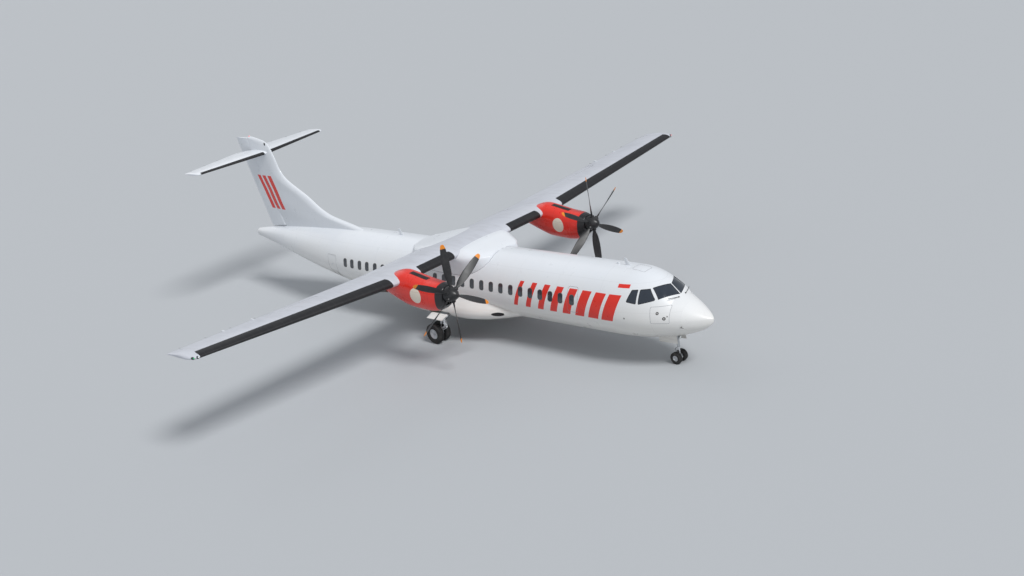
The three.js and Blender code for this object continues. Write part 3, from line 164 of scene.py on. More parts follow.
def turns(count):
    """Angles evenly spaced all the way round."""
    return [2 * pi * k / count for k in range(count)]


def middle_of(points):
    return sum((Vector(p) for p in points), Vector([0.0] * len(points[0]))) / len(points)


# %% [markdown]
# A skin is a grid rolled up: each row takes the places of one section, the long edges are merged,
# the ends are closed and the faces turned outwards. The same call makes a fuselage, a wing or a
# wheel, and a closed skin can be cut with a boolean.

# %% Skins and cuts
MERGE_DISTANCE = 2e-5


def only(piece):
    """Makes one piece the whole selection."""
    bpy.ops.object.select_all(action="DESELECT")
    piece.select_set(True)
    bpy.context.view_layer.objects.active = piece


def in_edit_mode(piece, *calls):
    """Runs edit mode operators on all of a piece's mesh."""
    only(piece)
    bpy.ops.object.mode_set(mode="EDIT")
    bpy.ops.mesh.select_all(action="SELECT")
    for call in calls:
        call()
    bpy.ops.object.mode_set(mode="OBJECT")


def merge():
    bpy.ops.mesh.remove_doubles(threshold=MERGE_DISTANCE)


def close_ends():
    bpy.ops.mesh.fill_holes(sides=0)


def face_out():
    bpy.ops.mesh.normals_make_consistent(inside=False)


def skin(name, rings, closed=True):
    """Rolls a grid into a body: row r of the grid takes the places of ring r."""
    around = len(rings[0])
    bpy.ops.object.select_all(action="DESELECT")
    bpy.ops.mesh.primitive_grid_add(x_subdivisions=around, y_subdivisions=len(rings) - 1)
    piece = bpy.context.object
    piece.name = name
    places = [number for ring in rings for point in [*ring, ring[0]] for number in point]
    piece.data.vertices.foreach_set("co", places)
    in_edit_mode(piece, merge, *([close_ends] if closed else []), face_out)
    return piece


def apply(piece, kind, **settings):
    """Adds a modifier and applies it."""
    only(piece)
    tool = piece.modifiers.new(kind.lower(), kind)
    for key, value in settings.items():
        setattr(tool, key, value)
    bpy.ops.object.modifier_apply(modifier=tool.name)
    return piece


def cut(piece, *cutters, operation="DIFFERENCE"):
    """Takes each cutter from the piece, or with INTERSECT keeps only what lies in it."""
    for cutter in cutters:
        apply(piece, "BOOLEAN", object=cutter, operation=operation, solver="EXACT", material_mode="TRANSFER")
        bpy.data.objects.remove(cutter)
    return piece


def join(name, pieces):
    """Makes several pieces one mesh."""
    only(pieces[0])
    for piece in pieces:
        piece.select_set(True)
    bpy.ops.object.join()
    joined = bpy.context.object
    joined.name = name
    return joined


def settle(piece):
    """Moves a piece's place, turn and scale into its mesh."""
    only(piece)
    bpy.ops.object.transform_apply(location=True, rotation=True, scale=True)
    return piece


def turned_about(piece, angle, axis, centre):
    only(piece)
    bpy.ops.transform.rotate(value=angle, orient_axis=axis, center_override=centre)
    return settle(piece)


def copied(piece, name):
    only(piece)
    bpy.ops.object.duplicate(linked=False)
    twin = bpy.context.object
    twin.name = name
    return twin


def mirrored(piece, name):
    """A copy on the other side of the aircraft, with its faces turned out again."""
    twin = copied(piece, name)
    twin.scale.y = -1
    settle(twin)
    in_edit_mode(twin, face_out)
    return twin


# %% [markdown]
# Small solids: a box and a rod, bevelled where an edge shows, and a prism drawn in side view with
# rounded corners, for windows, hatches and their cutters.

# %% Small solids
BEVEL_STEPS = 2
BEVEL_ANGLE = radians(50)


def box(name, low, high, bevel=0.0):
    size = [b - a for a, b in zip(low, high)]
    middle = [(a + b) / 2 for a, b in zip(low, high)]
    bpy.ops.object.select_all(action="DESELECT")
    bpy.ops.mesh.primitive_cube_add(size=1, location=middle, scale=size)
    piece = bpy.context.object
    piece.name = name
    settle(piece)
    if bevel:
        apply(piece, "BEVEL", width=bevel, segments=BEVEL_STEPS, limit_method="ANGLE")
    return piece


def station_box(name, s, y, z, bevel=0.0):
    """A box between two stations, two widths and two heights."""
    return box(name, at(s[1], y[0], z[0]), at(s[0], y[1], z[1]), bevel)


def rod(name, start, end, radius, end_radius=None, sides=24, bevel=0.0):
    along = Vector(end) - Vector(start)
    bpy.ops.object.select_all(action="DESELECT")
    bpy.ops.mesh.primitive_cone_add(
        vertices=sides, radius1=radius, radius2=radius if end_radius is None else end_radius,
        depth=along.length, location=(Vector(start) + Vector(end)) / 2,
        rotation=along.to_track_quat("Z", "Y").to_euler(),
    )
    piece = bpy.context.object
    piece.name = name
    settle(piece)
    if bevel:
        limits = {"limit_method": "ANGLE", "angle_limit": BEVEL_ANGLE}
        apply(piece, "BEVEL", width=bevel, segments=BEVEL_STEPS, **limits)
    return piece


def rounded_outline(corners, radius, segments=5):
    """The points of a flat outline whose corners are arcs of the given radius."""
    points = []
    count = len(corners)
    for i, corner in enumerate(corners):
        here = Vector(corner)
        back = (Vector(corners[i - 1]) - here).normalized()
        on = (Vector(corners[(i + 1) % count]) - here).normalized()
        half = back.angle(on) / 2
        reach = radius / tan(half)
        centre = here + (back + on).normalized() * (radius / sin(half))
        first = here + back * reach - centre
        last = here + on * reach - centre
        for k in range(segments + 1):
            points.append(centre + first.slerp(last, k / segments).normalized() * radius)
    return points


def side_prism(name, corners, radius, y0, y1):
    """A prism across the aircraft: its corners are pairs of station and height."""
    outline = rounded_outline(corners, radius)
    return skin(name, [[at(s, y, z) for s, z in outline] for y in (y0, y1)])


# %% [markdown]
# Each finish is a node tree on Object coordinates, which are the aircraft's own metres because
# every piece keeps its object at the origin. The Shade helper gives short calls for its nodes, so
# that a finish reads as a recipe.

# %% Shade
COAT_ROUGHNESS = 0.08
NOISE_ROUGHNESS = 0.55
SOFT_EDGE = 0.003


class Shade:
    def __init__(self, name, roughness=0.4, metallic=0.0, coat=0.0):
        self.material = bpy.data.materials.new(name)
        self.material.use_nodes = True
        self.nodes = self.material.node_tree.nodes
        self.links = self.material.node_tree.links
        self.shader = self.nodes["Principled BSDF"]
        self.shader.inputs["Roughness"].default_value = roughness
        self.shader.inputs["Metallic"].default_value = metallic
        self.shader.inputs["Coat Weight"].default_value = coat
        self.shader.inputs["Coat Roughness"].default_value = COAT_ROUGHNESS
        self.place = self.node("TexCoord").outputs["Object"]
        self.x, self.y, self.z = self.node("SeparateXYZ", Vector=self.place).outputs

    def feed(self, socket, value):
        if isinstance(value, bpy.types.NodeSocket):
            self.links.new(value, socket)
        else:
            socket.default_value = value

    def node(self, kind, **inputs):
        """A new node with its inputs fed by name."""
        node = self.nodes.new("ShaderNode" + kind)
        for name, value in inputs.items():
            self.feed(node.inputs[name.replace("_", " ")], value)
        return node

    def math(self, operation, a, b=0.0):
        node = self.node("Math")
        node.operation = operation
        self.feed(node.inputs[0], a)
        self.feed(node.inputs[1], b)
        return node.outputs[0]

    def plus(self, a, b):
        return self.math("ADD", a, b)

    def minus(self, a, b):
        return self.math("SUBTRACT", a, b)

    def times(self, a, b):
        return self.math("MULTIPLY", a, b)

    def distance(self, a, b):
        return self.math("SQRT", self.plus(self.times(a, a), self.times(b, b)))

    def station(self):
        return self.minus(NOSE_X, self.x)

    def height(self):
        """The height above the fuselage's widest line."""
        return self.minus(self.z, WIDEST)

    def noise(self, scale, stretch=(1, 1, 1), detail=3.0):
        mapping = self.node("Mapping", Scale=stretch, Vector=self.place)
        return self.node("TexNoise", Scale=scale, Detail=detail, Roughness=NOISE_ROUGHNESS,
                         Vector=mapping.outputs[0]).outputs["Fac"]

    def scaled(self, value, low, high, from_low=0.0, from_high=1.0):
        return self.node("MapRange", Value=value, From_Min=from_low, From_Max=from_high,
                         To_Min=low, To_Max=high).outputs[0]

    def above(self, value, edge, soft=SOFT_EDGE):
        """0 below the edge and 1 above it."""
        return self.scaled(value, 0.0, 1.0, edge - soft, edge + soft)

    def below(self, value, edge, soft=SOFT_EDGE):
        return self.minus(1.0, self.above(value, edge, soft))

    def within(self, value, low, high):
        return self.times(self.above(value, low), self.below(value, high))

    def both(self, a, b):
        return self.times(a, b)

    def either(self, a, b):
        return self.math("MAXIMUM", a, b)

    def every(self, value, pitch, width, shift=0.0):
        """1 on lines of the given width that repeat at a pitch."""
        part = self.math("MODULO", self.plus(value, shift + pitch * 100), pitch)
        middle = self.math("ABSOLUTE", self.minus(part, pitch / 2))
        return self.below(middle, width / 2, width / 4)

    def mix(self, factor, a, b):
        node = self.node("Mix")
        node.data_type = "RGBA"
        self.feed(node.inputs["Factor"], factor)
        for socket, colour in ((node.inputs["A"], a), (node.inputs["B"], b)):
            self.feed(socket, (*colour, 1) if isinstance(colour, tuple) else colour)
        return node.outputs["Result"]

    def colour(self, value):
        self.feed(self.shader.inputs["Base Color"], value)

    def rough(self, value):
        self.feed(self.shader.inputs["Roughness"], value)

    def bump(self, height, distance):
        node = self.node("Bump", Distance=distance, Height=height)
        self.feed(self.shader.inputs["Normal"], node.outputs[0])


# %% [markdown]
# Aircraft paint is glossy but never even: sheets differ a little, the paint browns towards the belly
# in streaks drawn aft, and flush rivets dimple the skin in rows. The white also carries painted light:
# it is warm towards the belly and cool towards the crown. One recipe gives all painted pieces these marks.

# %% Painted skin
FRAME_PITCH = 0.53
STRINGER_PITCH = 0.31
RIVET_PITCH = 0.045
RIVET_SIZE = 0.01
RIVET_ROW = RIVET_SIZE * 2.2
SHEET_LENGTH = FRAME_PITCH * 4
SHEET_HEIGHT = STRINGER_PITCH * 3
SEAM_WIDTHS = (0.007, 0.005)
PAINT_WAVES = 0.004
BELLY_BROWN_HEIGHTS = (WIDEST - 1.15, WIDEST - 0.1)
BELLY_BROWN_SHARE = 0.34
# Painted light: a warm white for the belly, as if lit by the floor, and a cool white for the crown, as if
# lit by the sky.
BOUNCE_LIT_WHITE = (0.86, 0.84, 0.8)
SKY_LIT_WHITE = (0.8, 0.83, 0.87)
BELLY_BROWN = (0.42, 0.37, 0.29)
SHEET_GREY = (0.45, 0.47, 0.5)
SEAM_GREY = (0.3, 0.31, 0.33)
RED = (0.86, 0.034, 0.016)
DEEP_RED = (0.72, 0.024, 0.013)
SIGNAL_BLACK = (0.012, 0.012, 0.014)


def line_and_cross(shade, along):
    """The axes along the sheets and across them: a wing's sheets lie along its span."""
    return (shade.x, shade.z) if along == "x" else (shade.y, shade.x)


def sheets(shade, colour, seams=0.22, along="x"):
    """Darkens the seams between sheets, and shifts each sheet's tone a little."""
    line, cross = line_and_cross(shade, along)
    seam = shade.either(shade.every(line, SHEET_LENGTH, SEAM_WIDTHS[0]),
                        shade.every(cross, SHEET_HEIGHT, SEAM_WIDTHS[1]))
    across, up = [shade.math("FLOOR", shade.math("DIVIDE", value, size))
                  for value, size in ((line, SHEET_LENGTH), (cross, SHEET_HEIGHT))]
    cell = shade.node("TexWhiteNoise", Vector=shade.node("CombineXYZ", X=across, Y=up).outputs[0])
    cell.noise_dimensions = "2D"
    toned = shade.mix(shade.scaled(cell.outputs[0], 0.0, 0.055), colour, SHEET_GREY)
    return shade.mix(shade.times(seam, seams), toned, SEAM_GREY)


def rivets(shade, along="x"):
    """Rows of small dimples along the frames and along the stringers."""
    line, cross = line_and_cross(shade, along)
    on_frames = shade.both(shade.every(line, FRAME_PITCH, RIVET_ROW, FRAME_PITCH / 2),
                           shade.every(cross, RIVET_PITCH, RIVET_SIZE))
    on_stringers = shade.both(shade.every(cross, STRINGER_PITCH, RIVET_ROW, STRINGER_PITCH / 2),
                              shade.every(line, RIVET_PITCH, RIVET_SIZE))
    return shade.either(on_frames, on_stringers)


def browned_below(shade, colour):
    """A brown tint that deepens downwards and is drawn aft in streaks."""
    streaks = shade.noise(1.4, (0.35, 2.0, 6.0), 4.0)
    height = shade.scaled(shade.z, 1.0, 0.0, *BELLY_BROWN_HEIGHTS)
    return shade.mix(shade.times(height, shade.scaled(streaks, 0.0, BELLY_BROWN_SHARE, 0.35, 0.75)), colour, BELLY_BROWN)


def surface(shade, along="x", gloss=0.24):
    """Uneven gloss, soft waves in the sheet and dimples at the rivets."""
    mottled, fine = shade.noise(2.3, detail=4.0), shade.noise(38.0, detail=2.0)
    shade.rough(shade.scaled(shade.plus(mottled, shade.times(fine, 0.3)), gloss, gloss + 0.22, 0.4, 0.9))
    waves = shade.times(shade.noise(1.9, (1, 1, 1.6), 1.0), 0.5)
    shade.bump(shade.minus(waves, shade.times(rivets(shade, along), 0.35)), PAINT_WAVES)


# Painted light: the white turns warm towards the belly and cool towards the crown. Random noise varies it a
# little.
def white_base(shade):
    tone = shade.scaled(shade.z, 0.0, 1.0, WIDEST - 0.6, WIDEST + 1.3)
    return shade.mix(shade.plus(tone, shade.scaled(shade.noise(0.5), -0.25, 0.25)), BOUNCE_LIT_WHITE, SKY_LIT_WHITE)


def red_base(shade):
    return shade.mix(shade.noise(3.0), RED, DEEP_RED)


def painted(name, recipe, coat=0.25, along="x", gloss=0.24):
    """A painted finish. The recipe takes the shade and gives the paint's colour."""
    shade = Shade(name, coat=coat)
    shade.colour(recipe(shade))
    surface(shade, along, gloss)
    return shade.material


# %% [markdown]
# The forward fuselage carries a plain row of leaning red bars that grow narrower towards the tail.
# The place along the body and the height give a slanted distance, and its remainder gives the bars.
# A small red bar stands behind the cockpit windows.

# %% White paint with the bars
BARS = Sizes(front=3.46, back=8.95, low=-0.21, high=0.756, lean=0.42, pitch=0.684)
BAR_SHARES = (0.78, 0.3)
SMALL_BAR = Sizes(front=2.82, back=3.31, low=0.975, high=1.085)


def bar_mask(shade):
    lean, pitch = BARS.lean, BARS.pitch
    leaning = shade.plus(shade.station(), shade.times(shade.z, lean))
    along = shade.minus(leaning, BARS.front + lean * (WIDEST + BARS.low))
    count = shade.math("FLOOR", shade.math("DIVIDE", along, pitch))
    part = shade.minus(along, shade.times(count, pitch))
    total = round((BARS.back - BARS.front) / pitch)
    bar = shade.math("LESS_THAN", part, shade.times(shade.scaled(count, *BAR_SHARES, 0, total - 1), pitch))
    inside = shade.both(shade.within(count, -0.5, total - 0.5), height_band(shade, BARS))
    return shade.both(bar, inside)


def height_band(shade, bars):
    return shade.within(shade.z, WIDEST + bars.low, WIDEST + bars.high)


def small_bar_mask(shade):
    along = shade.within(shade.station(), SMALL_BAR.front, SMALL_BAR.back)
    return shade.both(along, height_band(shade, SMALL_BAR))


def white_with_bars(shade):
    base = sheets(shade, white_base(shade))
    bars = shade.either(bar_mask(shade), small_bar_mask(shade))
    return browned_below(shade, shade.mix(bars, base, red_base(shade)))


FUSELAGE_WHITE = painted("fuselage_white", white_with_bars)
PLAIN_WHITE = painted("plain_white", lambda shade: browned_below(shade, white_base(shade)))
print("white paints made")

# %% [markdown]
# Wing grey is a cooler satin paint. Fuel and walkway stains run aft over it, so its noise is
# stretched along the chord, and its seams run along the span.

# %% Wing grey
WING_GREY = (0.56, 0.58, 0.64)
WING_LIGHT = (0.66, 0.68, 0.73)
WING_STAIN = (0.36, 0.36, 0.37)


def stained_grey(shade):
    stains = shade.scaled(shade.noise(2.2, (0.5, 3.0, 1.0), 5.0), 0.0, 0.3, 0.45, 0.8)
    base = sheets(shade, shade.mix(shade.noise(0.8), WING_GREY, WING_LIGHT), 0.35, "y")
    return shade.mix(stains, base, WING_STAIN)


WING_PAINT = painted("wing_grey", stained_grey, 0.1, "y", 0.32)

# %% [markdown]
# The cowls are red with one plain cream round on each side. Their black front has a leaning edge,
# so its mask compares the station with a line in station and height. The cowl darkens all round
# towards its tail, from ahead of the exhaust: partly soot, partly painted shade under the wing.

# %% Red cowl
ENGINE_Y = 4.075
COWL_EDGE = Sizes(top=9.26, slope=0.1, z=1.68)
COWL_REDS = ((0.88, 0.034, 0.016), (0.72, 0.022, 0.013))
COWL_SEAM = (0.16, 0.01, 0.01)
ROUND = Sizes(s=10.3, z=1.15, radius=0.3)
CREAM = (0.84, 0.74, 0.62)
# Soot and painted shade: the cowl's tail, under the wing, is darkened.
SOOT_AND_SHADE = (0.05, 0.04, 0.04)
SOOT_AND_SHADE_STATIONS = (11.4, 13.2)


def cowl_colours(shade):
    s, z = shade.station(), shade.height()
    edge = shade.plus(COWL_EDGE.top, shade.times(shade.minus(COWL_EDGE.z, z), COWL_EDGE.slope))
    red = shade.mix(shade.noise(2.0, (0.4, 1, 3)), *COWL_REDS)
    reach = shade.distance(shade.minus(s, ROUND.s), shade.minus(z, ROUND.z))
    with_round = shade.mix(shade.below(reach, ROUND.radius), red, CREAM)
    panel = shade.either(shade.every(s, 0.93, 0.007, 0.12), shade.every(z, 0.62, 0.006, 0.25))
    lined = shade.mix(shade.times(panel, 0.5), with_round, COWL_SEAM)
    # Soot and painted shade: the cowl darkens all round towards its tail, from ahead of the exhaust, where
    # the wing shades it.
    soot_and_shade = shade.times(shade.scaled(s, 0.0, 0.55, *SOOT_AND_SHADE_STATIONS), shade.noise(3.0, (0.3, 2, 4)))
    return shade.mix(shade.math("LESS_THAN", s, edge), shade.mix(soot_and_shade, lined, SOOT_AND_SHADE), SIGNAL_BLACK)


COWL_RED = painted("cowl_red", cowl_colours, 0.35, gloss=0.2)

# %% [markdown]
# The tail's white carries three leaning red bars of one width, in the place and size of the
# decoration on the real fin.

# %% Tail paint
FIN_BARS = Sizes(front=24.22, low=2.0, high=3.62, lean=-0.36, pitch=0.44, share=0.66)
FIN_BAR_COUNT = 3


def tail_colours(shade):
    z, pitch = shade.height(), FIN_BARS.pitch
    leaning = shade.plus(shade.station(), shade.times(shade.minus(z, FIN_BARS.low), FIN_BARS.lean))
    along = shade.minus(leaning, FIN_BARS.front)
    bar = shade.math("LESS_THAN", shade.math("MODULO", along, pitch), pitch * FIN_BARS.share)
    inside = shade.both(shade.within(along, 0.0, FIN_BAR_COUNT * pitch), height_band(shade, FIN_BARS))
    return shade.mix(shade.both(bar, inside), sheets(shade, white_base(shade), 0.16), red_base(shade))


TAIL_WHITE = painted("tail_white", tail_colours)

# %% [markdown]
# The other finishes: rubber boots, dark glass, blade composite, bare metal, tyre rubber, cabin
# lining and a few lamps. Each has its own grain and wear.

# %% Other finishes
SHAFT_Z = 1.2
TIP_PAINT_RADIUS = 1.8


def boot_rubber():
    shade = Shade("boot_rubber")
    ribs = shade.every(shade.y, 0.32, 0.012)
    grain = shade.noise(60.0, detail=2.0)
    dust = shade.scaled(shade.noise(1.6, (1, 0.4, 1), 4.0), 0.0, 0.35, 0.5, 0.85)
    base = shade.mix(dust, (0.01, 0.01, 0.012), (0.05, 0.048, 0.045))
    shade.colour(shade.mix(shade.times(ribs, 0.4), base, (0.045, 0.045, 0.047)))
    shade.rough(shade.scaled(grain, 0.42, 0.62))
    shade.bump(shade.plus(shade.times(grain, 0.1), ribs), 0.0012)
    return shade.material


def dark_glass(name, tint, low=0.04):
    shade = Shade(name, roughness=low, coat=0.6)
    shade.shader.inputs["IOR"].default_value = 1.52
    smear = shade.noise(6.0, (1, 1, 0.4), 4.0)
    shade.colour(shade.mix(smear, tint, tuple(c * 1.9 for c in tint)))
    shade.rough(shade.scaled(smear, low, low + 0.1, 0.4, 0.8))
    return shade.material


def metal(name, colour, rough=0.32, grain=22.0):
    """Brushed bare metal, dull where grime sits."""
    shade = Shade(name, metallic=1.0)
    brushed = shade.noise(grain, (1, 1, 12), 4.0)
    grime = shade.scaled(shade.noise(9.0, detail=5.0), 0.0, 0.8, 0.45, 0.8)
    shade.colour(shade.mix(grime, colour, tuple(c * 0.55 for c in colour)))
    shade.rough(shade.scaled(brushed, rough, rough + 0.22))
    shade.bump(brushed, 0.0004)
    return shade.material


def satin(name, colour, rough=0.5):
    """A plain painted or moulded finish with a fine grain and soft wear."""
    shade = Shade(name)
    wear = shade.noise(5.0, detail=5.0)
    worn = tuple(c + (0.5 - c) * 0.12 for c in colour)
    shade.colour(shade.mix(shade.scaled(wear, 0.0, 0.5, 0.4, 0.8), colour, worn))
    shade.rough(shade.scaled(wear, rough - 0.08, rough + 0.14))
    shade.bump(shade.noise(90.0, detail=2.0), 0.0006)
    return shade.material


def tyre_rubber():
    shade = Shade("tyre_rubber")
    dust = shade.noise(7.0, detail=5.0)
    dusty = shade.scaled(dust, 0.0, 0.55, 0.42, 0.8)
    shade.colour(shade.mix(dusty, (0.017, 0.017, 0.018), (0.075, 0.07, 0.062)))
    shade.rough(shade.scaled(dust, 0.74, 0.92))
    shade.bump(shade.noise(120.0, detail=3.0), 0.0012)
    return shade.material


def lamp(name, colour, glow):
    shade = Shade(name, roughness=0.1, coat=0.5)
    shade.colour(shade.mix(shade.noise(30.0), colour, tuple(c * 0.7 for c in colour)))
    shade.shader.inputs["Emission Color"].default_value = (*colour, 1)
    shade.shader.inputs["Emission Strength"].default_value = glow
    return shade.material


def blade_composite():
    """Black composite with soft wear, bright orange beyond a radius about the shaft."""
    shade = Shade("blade_composite", roughness=0.35)
    reach = shade.distance(shade.minus(shade.math("ABSOLUTE", shade.y), ENGINE_Y),
                           shade.minus(shade.z, WIDEST + SHAFT_Z))
    wear = shade.noise(7.0, detail=5.0)
    worn = shade.scaled(wear, 0.0, 0.6, 0.45, 0.8)
    base = shade.mix(worn, (0.02, 0.02, 0.022), (0.055, 0.054, 0.052))
    orange = shade.mix(wear, (0.9, 0.3, 0.02), (0.7, 0.22, 0.02))
    shade.colour(shade.mix(shade.above(reach, TIP_PAINT_RADIUS, 0.004), base, orange))
    shade.rough(shade.scaled(wear, 0.32, 0.55))
    shade.bump(shade.noise(80.0, detail=2.0), 0.0004)
    return shade.material


BLADE = blade_composite()
BOOT = boot_rubber()
SCREEN_GLASS = dark_glass("screen_glass", (0.016, 0.022, 0.032))
CABIN_GLASS = dark_glass("cabin_glass", (0.03, 0.034, 0.04), 0.06)
BRIGHT_METAL = metal("bright_metal", (0.72, 0.73, 0.75))
DARK_METAL = metal("dark_metal", (0.2, 0.19, 0.18), 0.42)
CHROME = metal("chrome", (0.85, 0.86, 0.88), 0.1, 8.0)
GEAR_PAINT = satin("gear_paint", (0.62, 0.64, 0.66), 0.38)
BLACK_PAINT = satin("black_paint", SIGNAL_BLACK, 0.34)
SEAL_RUBBER = satin("seal_rubber", (0.05, 0.05, 0.055), 0.62)
SEAM_LINE = satin("seam_line", (0.26, 0.27, 0.29), 0.5)
CABIN_LINING = satin("cabin_lining", (0.36, 0.37, 0.36), 0.6)
BAY_PRIMER = satin("bay_primer", (0.3, 0.33, 0.24), 0.55)
TYRE = tyre_rubber()
RED_LAMP = lamp("red_lamp", (0.75, 0.02, 0.02), 0.6)
GREEN_LAMP = lamp("green_lamp", (0.02, 0.45, 0.12), 0.6)
CLEAR_LAMP = lamp("clear_lamp", (0.85, 0.87, 0.85), 0.3)
print("finishes", len(bpy.data.materials))

# %% [markdown]
# A finished piece is smoothed by angle, takes its finish, rides on its body and stands for the solids
# that it replaces.

# %% Finishing a piece
made = []


def coat_with(piece, material):
    """Gives all of a piece one finish, before it is cut where cuts bring their own."""
    piece.data.materials.clear()
    piece.data.materials.append(material)
    return piece


def finish(piece, material=None, nodes=(), angle=32, body="airframe"):
    only(piece)
    bpy.ops.object.shade_smooth_by_angle(angle=radians(angle), keep_sharp_edges=False)
    if material is not None:
        coat_with(piece, material)
    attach(piece, body)
    if nodes:
        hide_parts(*nodes)
    made.append(piece.name)
    return piece


# %% [markdown]
# The fuselage is a round tube above its widest line and a flatter one below it. The nose, the
# windscreen and the tail each follow a short formula, so one function gives the section at any
# station.

# %% Fuselage section
BODY_RADIUS = 1.4325
BODY_DEPTH = 1.2015
NOSE_TIP = 0.006
NOSE_HEIGHT = -0.184
NOSE_SIDES = (3.87, 0.8)
NOSE_BELLY = (4.02, 0.5)
NOSE_TOP_FULLNESS = 0.88
SCREEN_BASE = (1.31, 0.6)
SCREEN_TOP = (1.68, 0.956)
ROOF_START = 3.15
BROW_PINCH = 1.15
BROW_LENGTH = 2.0
TAIL_START = 17.3
TAIL_ROOF_START = 18.5
TAIL_TIP = Sizes(top=0.8, bottom=0.57, half=0.07)
TAIL_CURVES = Sizes(top=2.2, bottom=1.25, side=1.7)
TAIL_BLUNT = Sizes(start=25.3, down=0.1, out=0.09, round=0.2)
AROUND = 96


def nose_rise(s, length, fullness):
    left = 1 - min(s, length) / length
    return (1 - left * left) ** fullness


def top_line(s):
    if s < SCREEN_BASE[0]:
        return NOSE_HEIGHT + (SCREEN_BASE[1] - NOSE_HEIGHT) * (s / SCREEN_BASE[0]) ** NOSE_TOP_FULLNESS
    if s < SCREEN_TOP[0]:
        part = (s - SCREEN_BASE[0]) / (SCREEN_TOP[0] - SCREEN_BASE[0])
        return SCREEN_BASE[1] + part * (SCREEN_TOP[1] - SCREEN_BASE[1])
    if s < ROOF_START:
        left = 1 - (s - SCREEN_TOP[0]) / (ROOF_START - SCREEN_TOP[0])
        return BODY_RADIUS - (BODY_RADIUS - SCREEN_TOP[1]) * left * left
    part = max(0, s - TAIL_ROOF_START) / (LENGTH - TAIL_ROOF_START)
    return BODY_RADIUS - (BODY_RADIUS - TAIL_TIP.top) * part ** TAIL_CURVES.top


def fuselage_shape(station):
    """Half width, top, bottom, height of the widest line and pinch of the brow."""
    s = min(max(station, NOSE_TIP), LENGTH)
    aft = max(0, s - TAIL_START) / (LENGTH - TAIL_START)
    top = top_line(s)
    bottom = (NOSE_HEIGHT - (BODY_DEPTH + NOSE_HEIGHT) * nose_rise(s, *NOSE_BELLY)
              + (BODY_DEPTH + TAIL_TIP.bottom) * aft ** TAIL_CURVES.bottom)
    taper = (BODY_RADIUS - TAIL_TIP.half) * aft ** TAIL_CURVES.side
    half = BODY_RADIUS * nose_rise(s, *NOSE_SIDES) - taper
    lead = 1 - min(s, NOSE_SIDES[0]) / NOSE_SIDES[0]
    uneven = (BODY_RADIUS - BODY_DEPTH) / 2 * (1 - aft)
    middle = (top + bottom) / 2 - uneven if aft > 0 else NOSE_HEIGHT * lead
    brow = min(1, max(0, (ROOF_START - s) / BROW_LENGTH))
    pinch = 1 + (BROW_PINCH - 1) * min(brow, s / SCREEN_BASE[0])
    blunt = max(0, s - TAIL_BLUNT.start) / (LENGTH - TAIL_BLUNT.start)
    bottom, half = bottom - TAIL_BLUNT.down * blunt, half + TAIL_BLUNT.out * blunt
    last = max(0, s - LENGTH + TAIL_BLUNT.round) / TAIL_BLUNT.round
    share, centre = sqrt(max(0.02, 1 - last * last)), (top + bottom) / 2
    if last > 0:
        top, bottom = (centre + (edge - centre) * share for edge in (top, bottom))
        middle = centre
        half *= share
    return half, top, bottom, middle, pinch


def section_point(s, angle, inset=0.0, shown_at=None):
    half, top, bottom, middle, pinch = fuselage_shape(s)
    rise = cos(angle)
    upper = (top - inset - middle) * max(0, rise) ** pinch
    lower = (middle - bottom - inset) * min(0, rise)
    return at(s if shown_at is None else shown_at, (half - inset) * sin(angle), middle + upper + lower)


def fuselage_ring(s, inset=0.0, around=AROUND, shown_at=None):
    return [section_point(s, angle, inset, shown_at) for angle in turns(around)]


def side_at(s, z):
    """How far out the skin lies at a station and a height."""
    half, top, bottom, middle, pinch = fuselage_shape(s)
    rise = ((z - middle) / (top - middle)) ** (1 / pinch) if z > middle else (middle - z) / (middle - bottom)
    return half * sqrt(max(0, 1 - rise * rise))


KEY_STATIONS = [SCREEN_BASE[0], SCREEN_TOP[0], ROOF_START, 3.87, 4.02, TAIL_START, TAIL_ROOF_START]


def stations(start, end):
    """Stations close together where the fuselage is curved, and none on its straight length."""
    tip = [LENGTH - TAIL_BLUNT.round * (1 - sin(k * pi / 20)) for k in range(10)]
    curved = [s for s in steps(0.9, 4.02, 52) + steps(TAIL_START, LENGTH, 40) + tip if start < s < end]
    return sorted({start, end, *curved, *(s for s in KEY_STATIONS if start < s < end)})


def hull(name, start, end, inset=0.0, around=AROUND):
    return skin(name, [fuselage_ring(s, inset, around) for s in stations(start, end)])


def shell(name, start, end, outer, inner, around=AROUND):
    """The wall between two insets, open at both ends."""
    core = hull("core", start - 0.05, end + 0.05, inner, around)
    return cut(hull(name, start, end, outer, around), core)


print("widest half width", round(side_at(8, 0), 4), "nose ring", fuselage_ring(0.5)[0][:])

# %% [markdown]
# The radome is its own moulding with a fine seam behind it. Its stations crowd towards the tip so
# that the tip stays round.

# %% Radome
RADOME_END = 0.9
RADOME_STEPS = 26
RADOME_CROWDING = 1.8
SKIN_SEAM = 0.0012


def radome():
    tip = [RADOME_END * t ** RADOME_CROWDING for t in steps(0, 1, RADOME_STEPS)]
    rings = [fuselage_ring(max(s, NOSE_TIP), 0.0, AROUND, s) for s in tip]
    return skin("nose_radome_skin", rings)


finish(radome(), PLAIN_WHITE, ["nose_radome"])

# %% [markdown]
# The cockpit section has the panes' openings cut into it, and a dark seal lines each one. The side
# panes' cutters are prisms in side view, and each front pane's is a leaning slab. Only the outer
# few millimetres are cut, so the glass lies just under the skin as on the real thing.

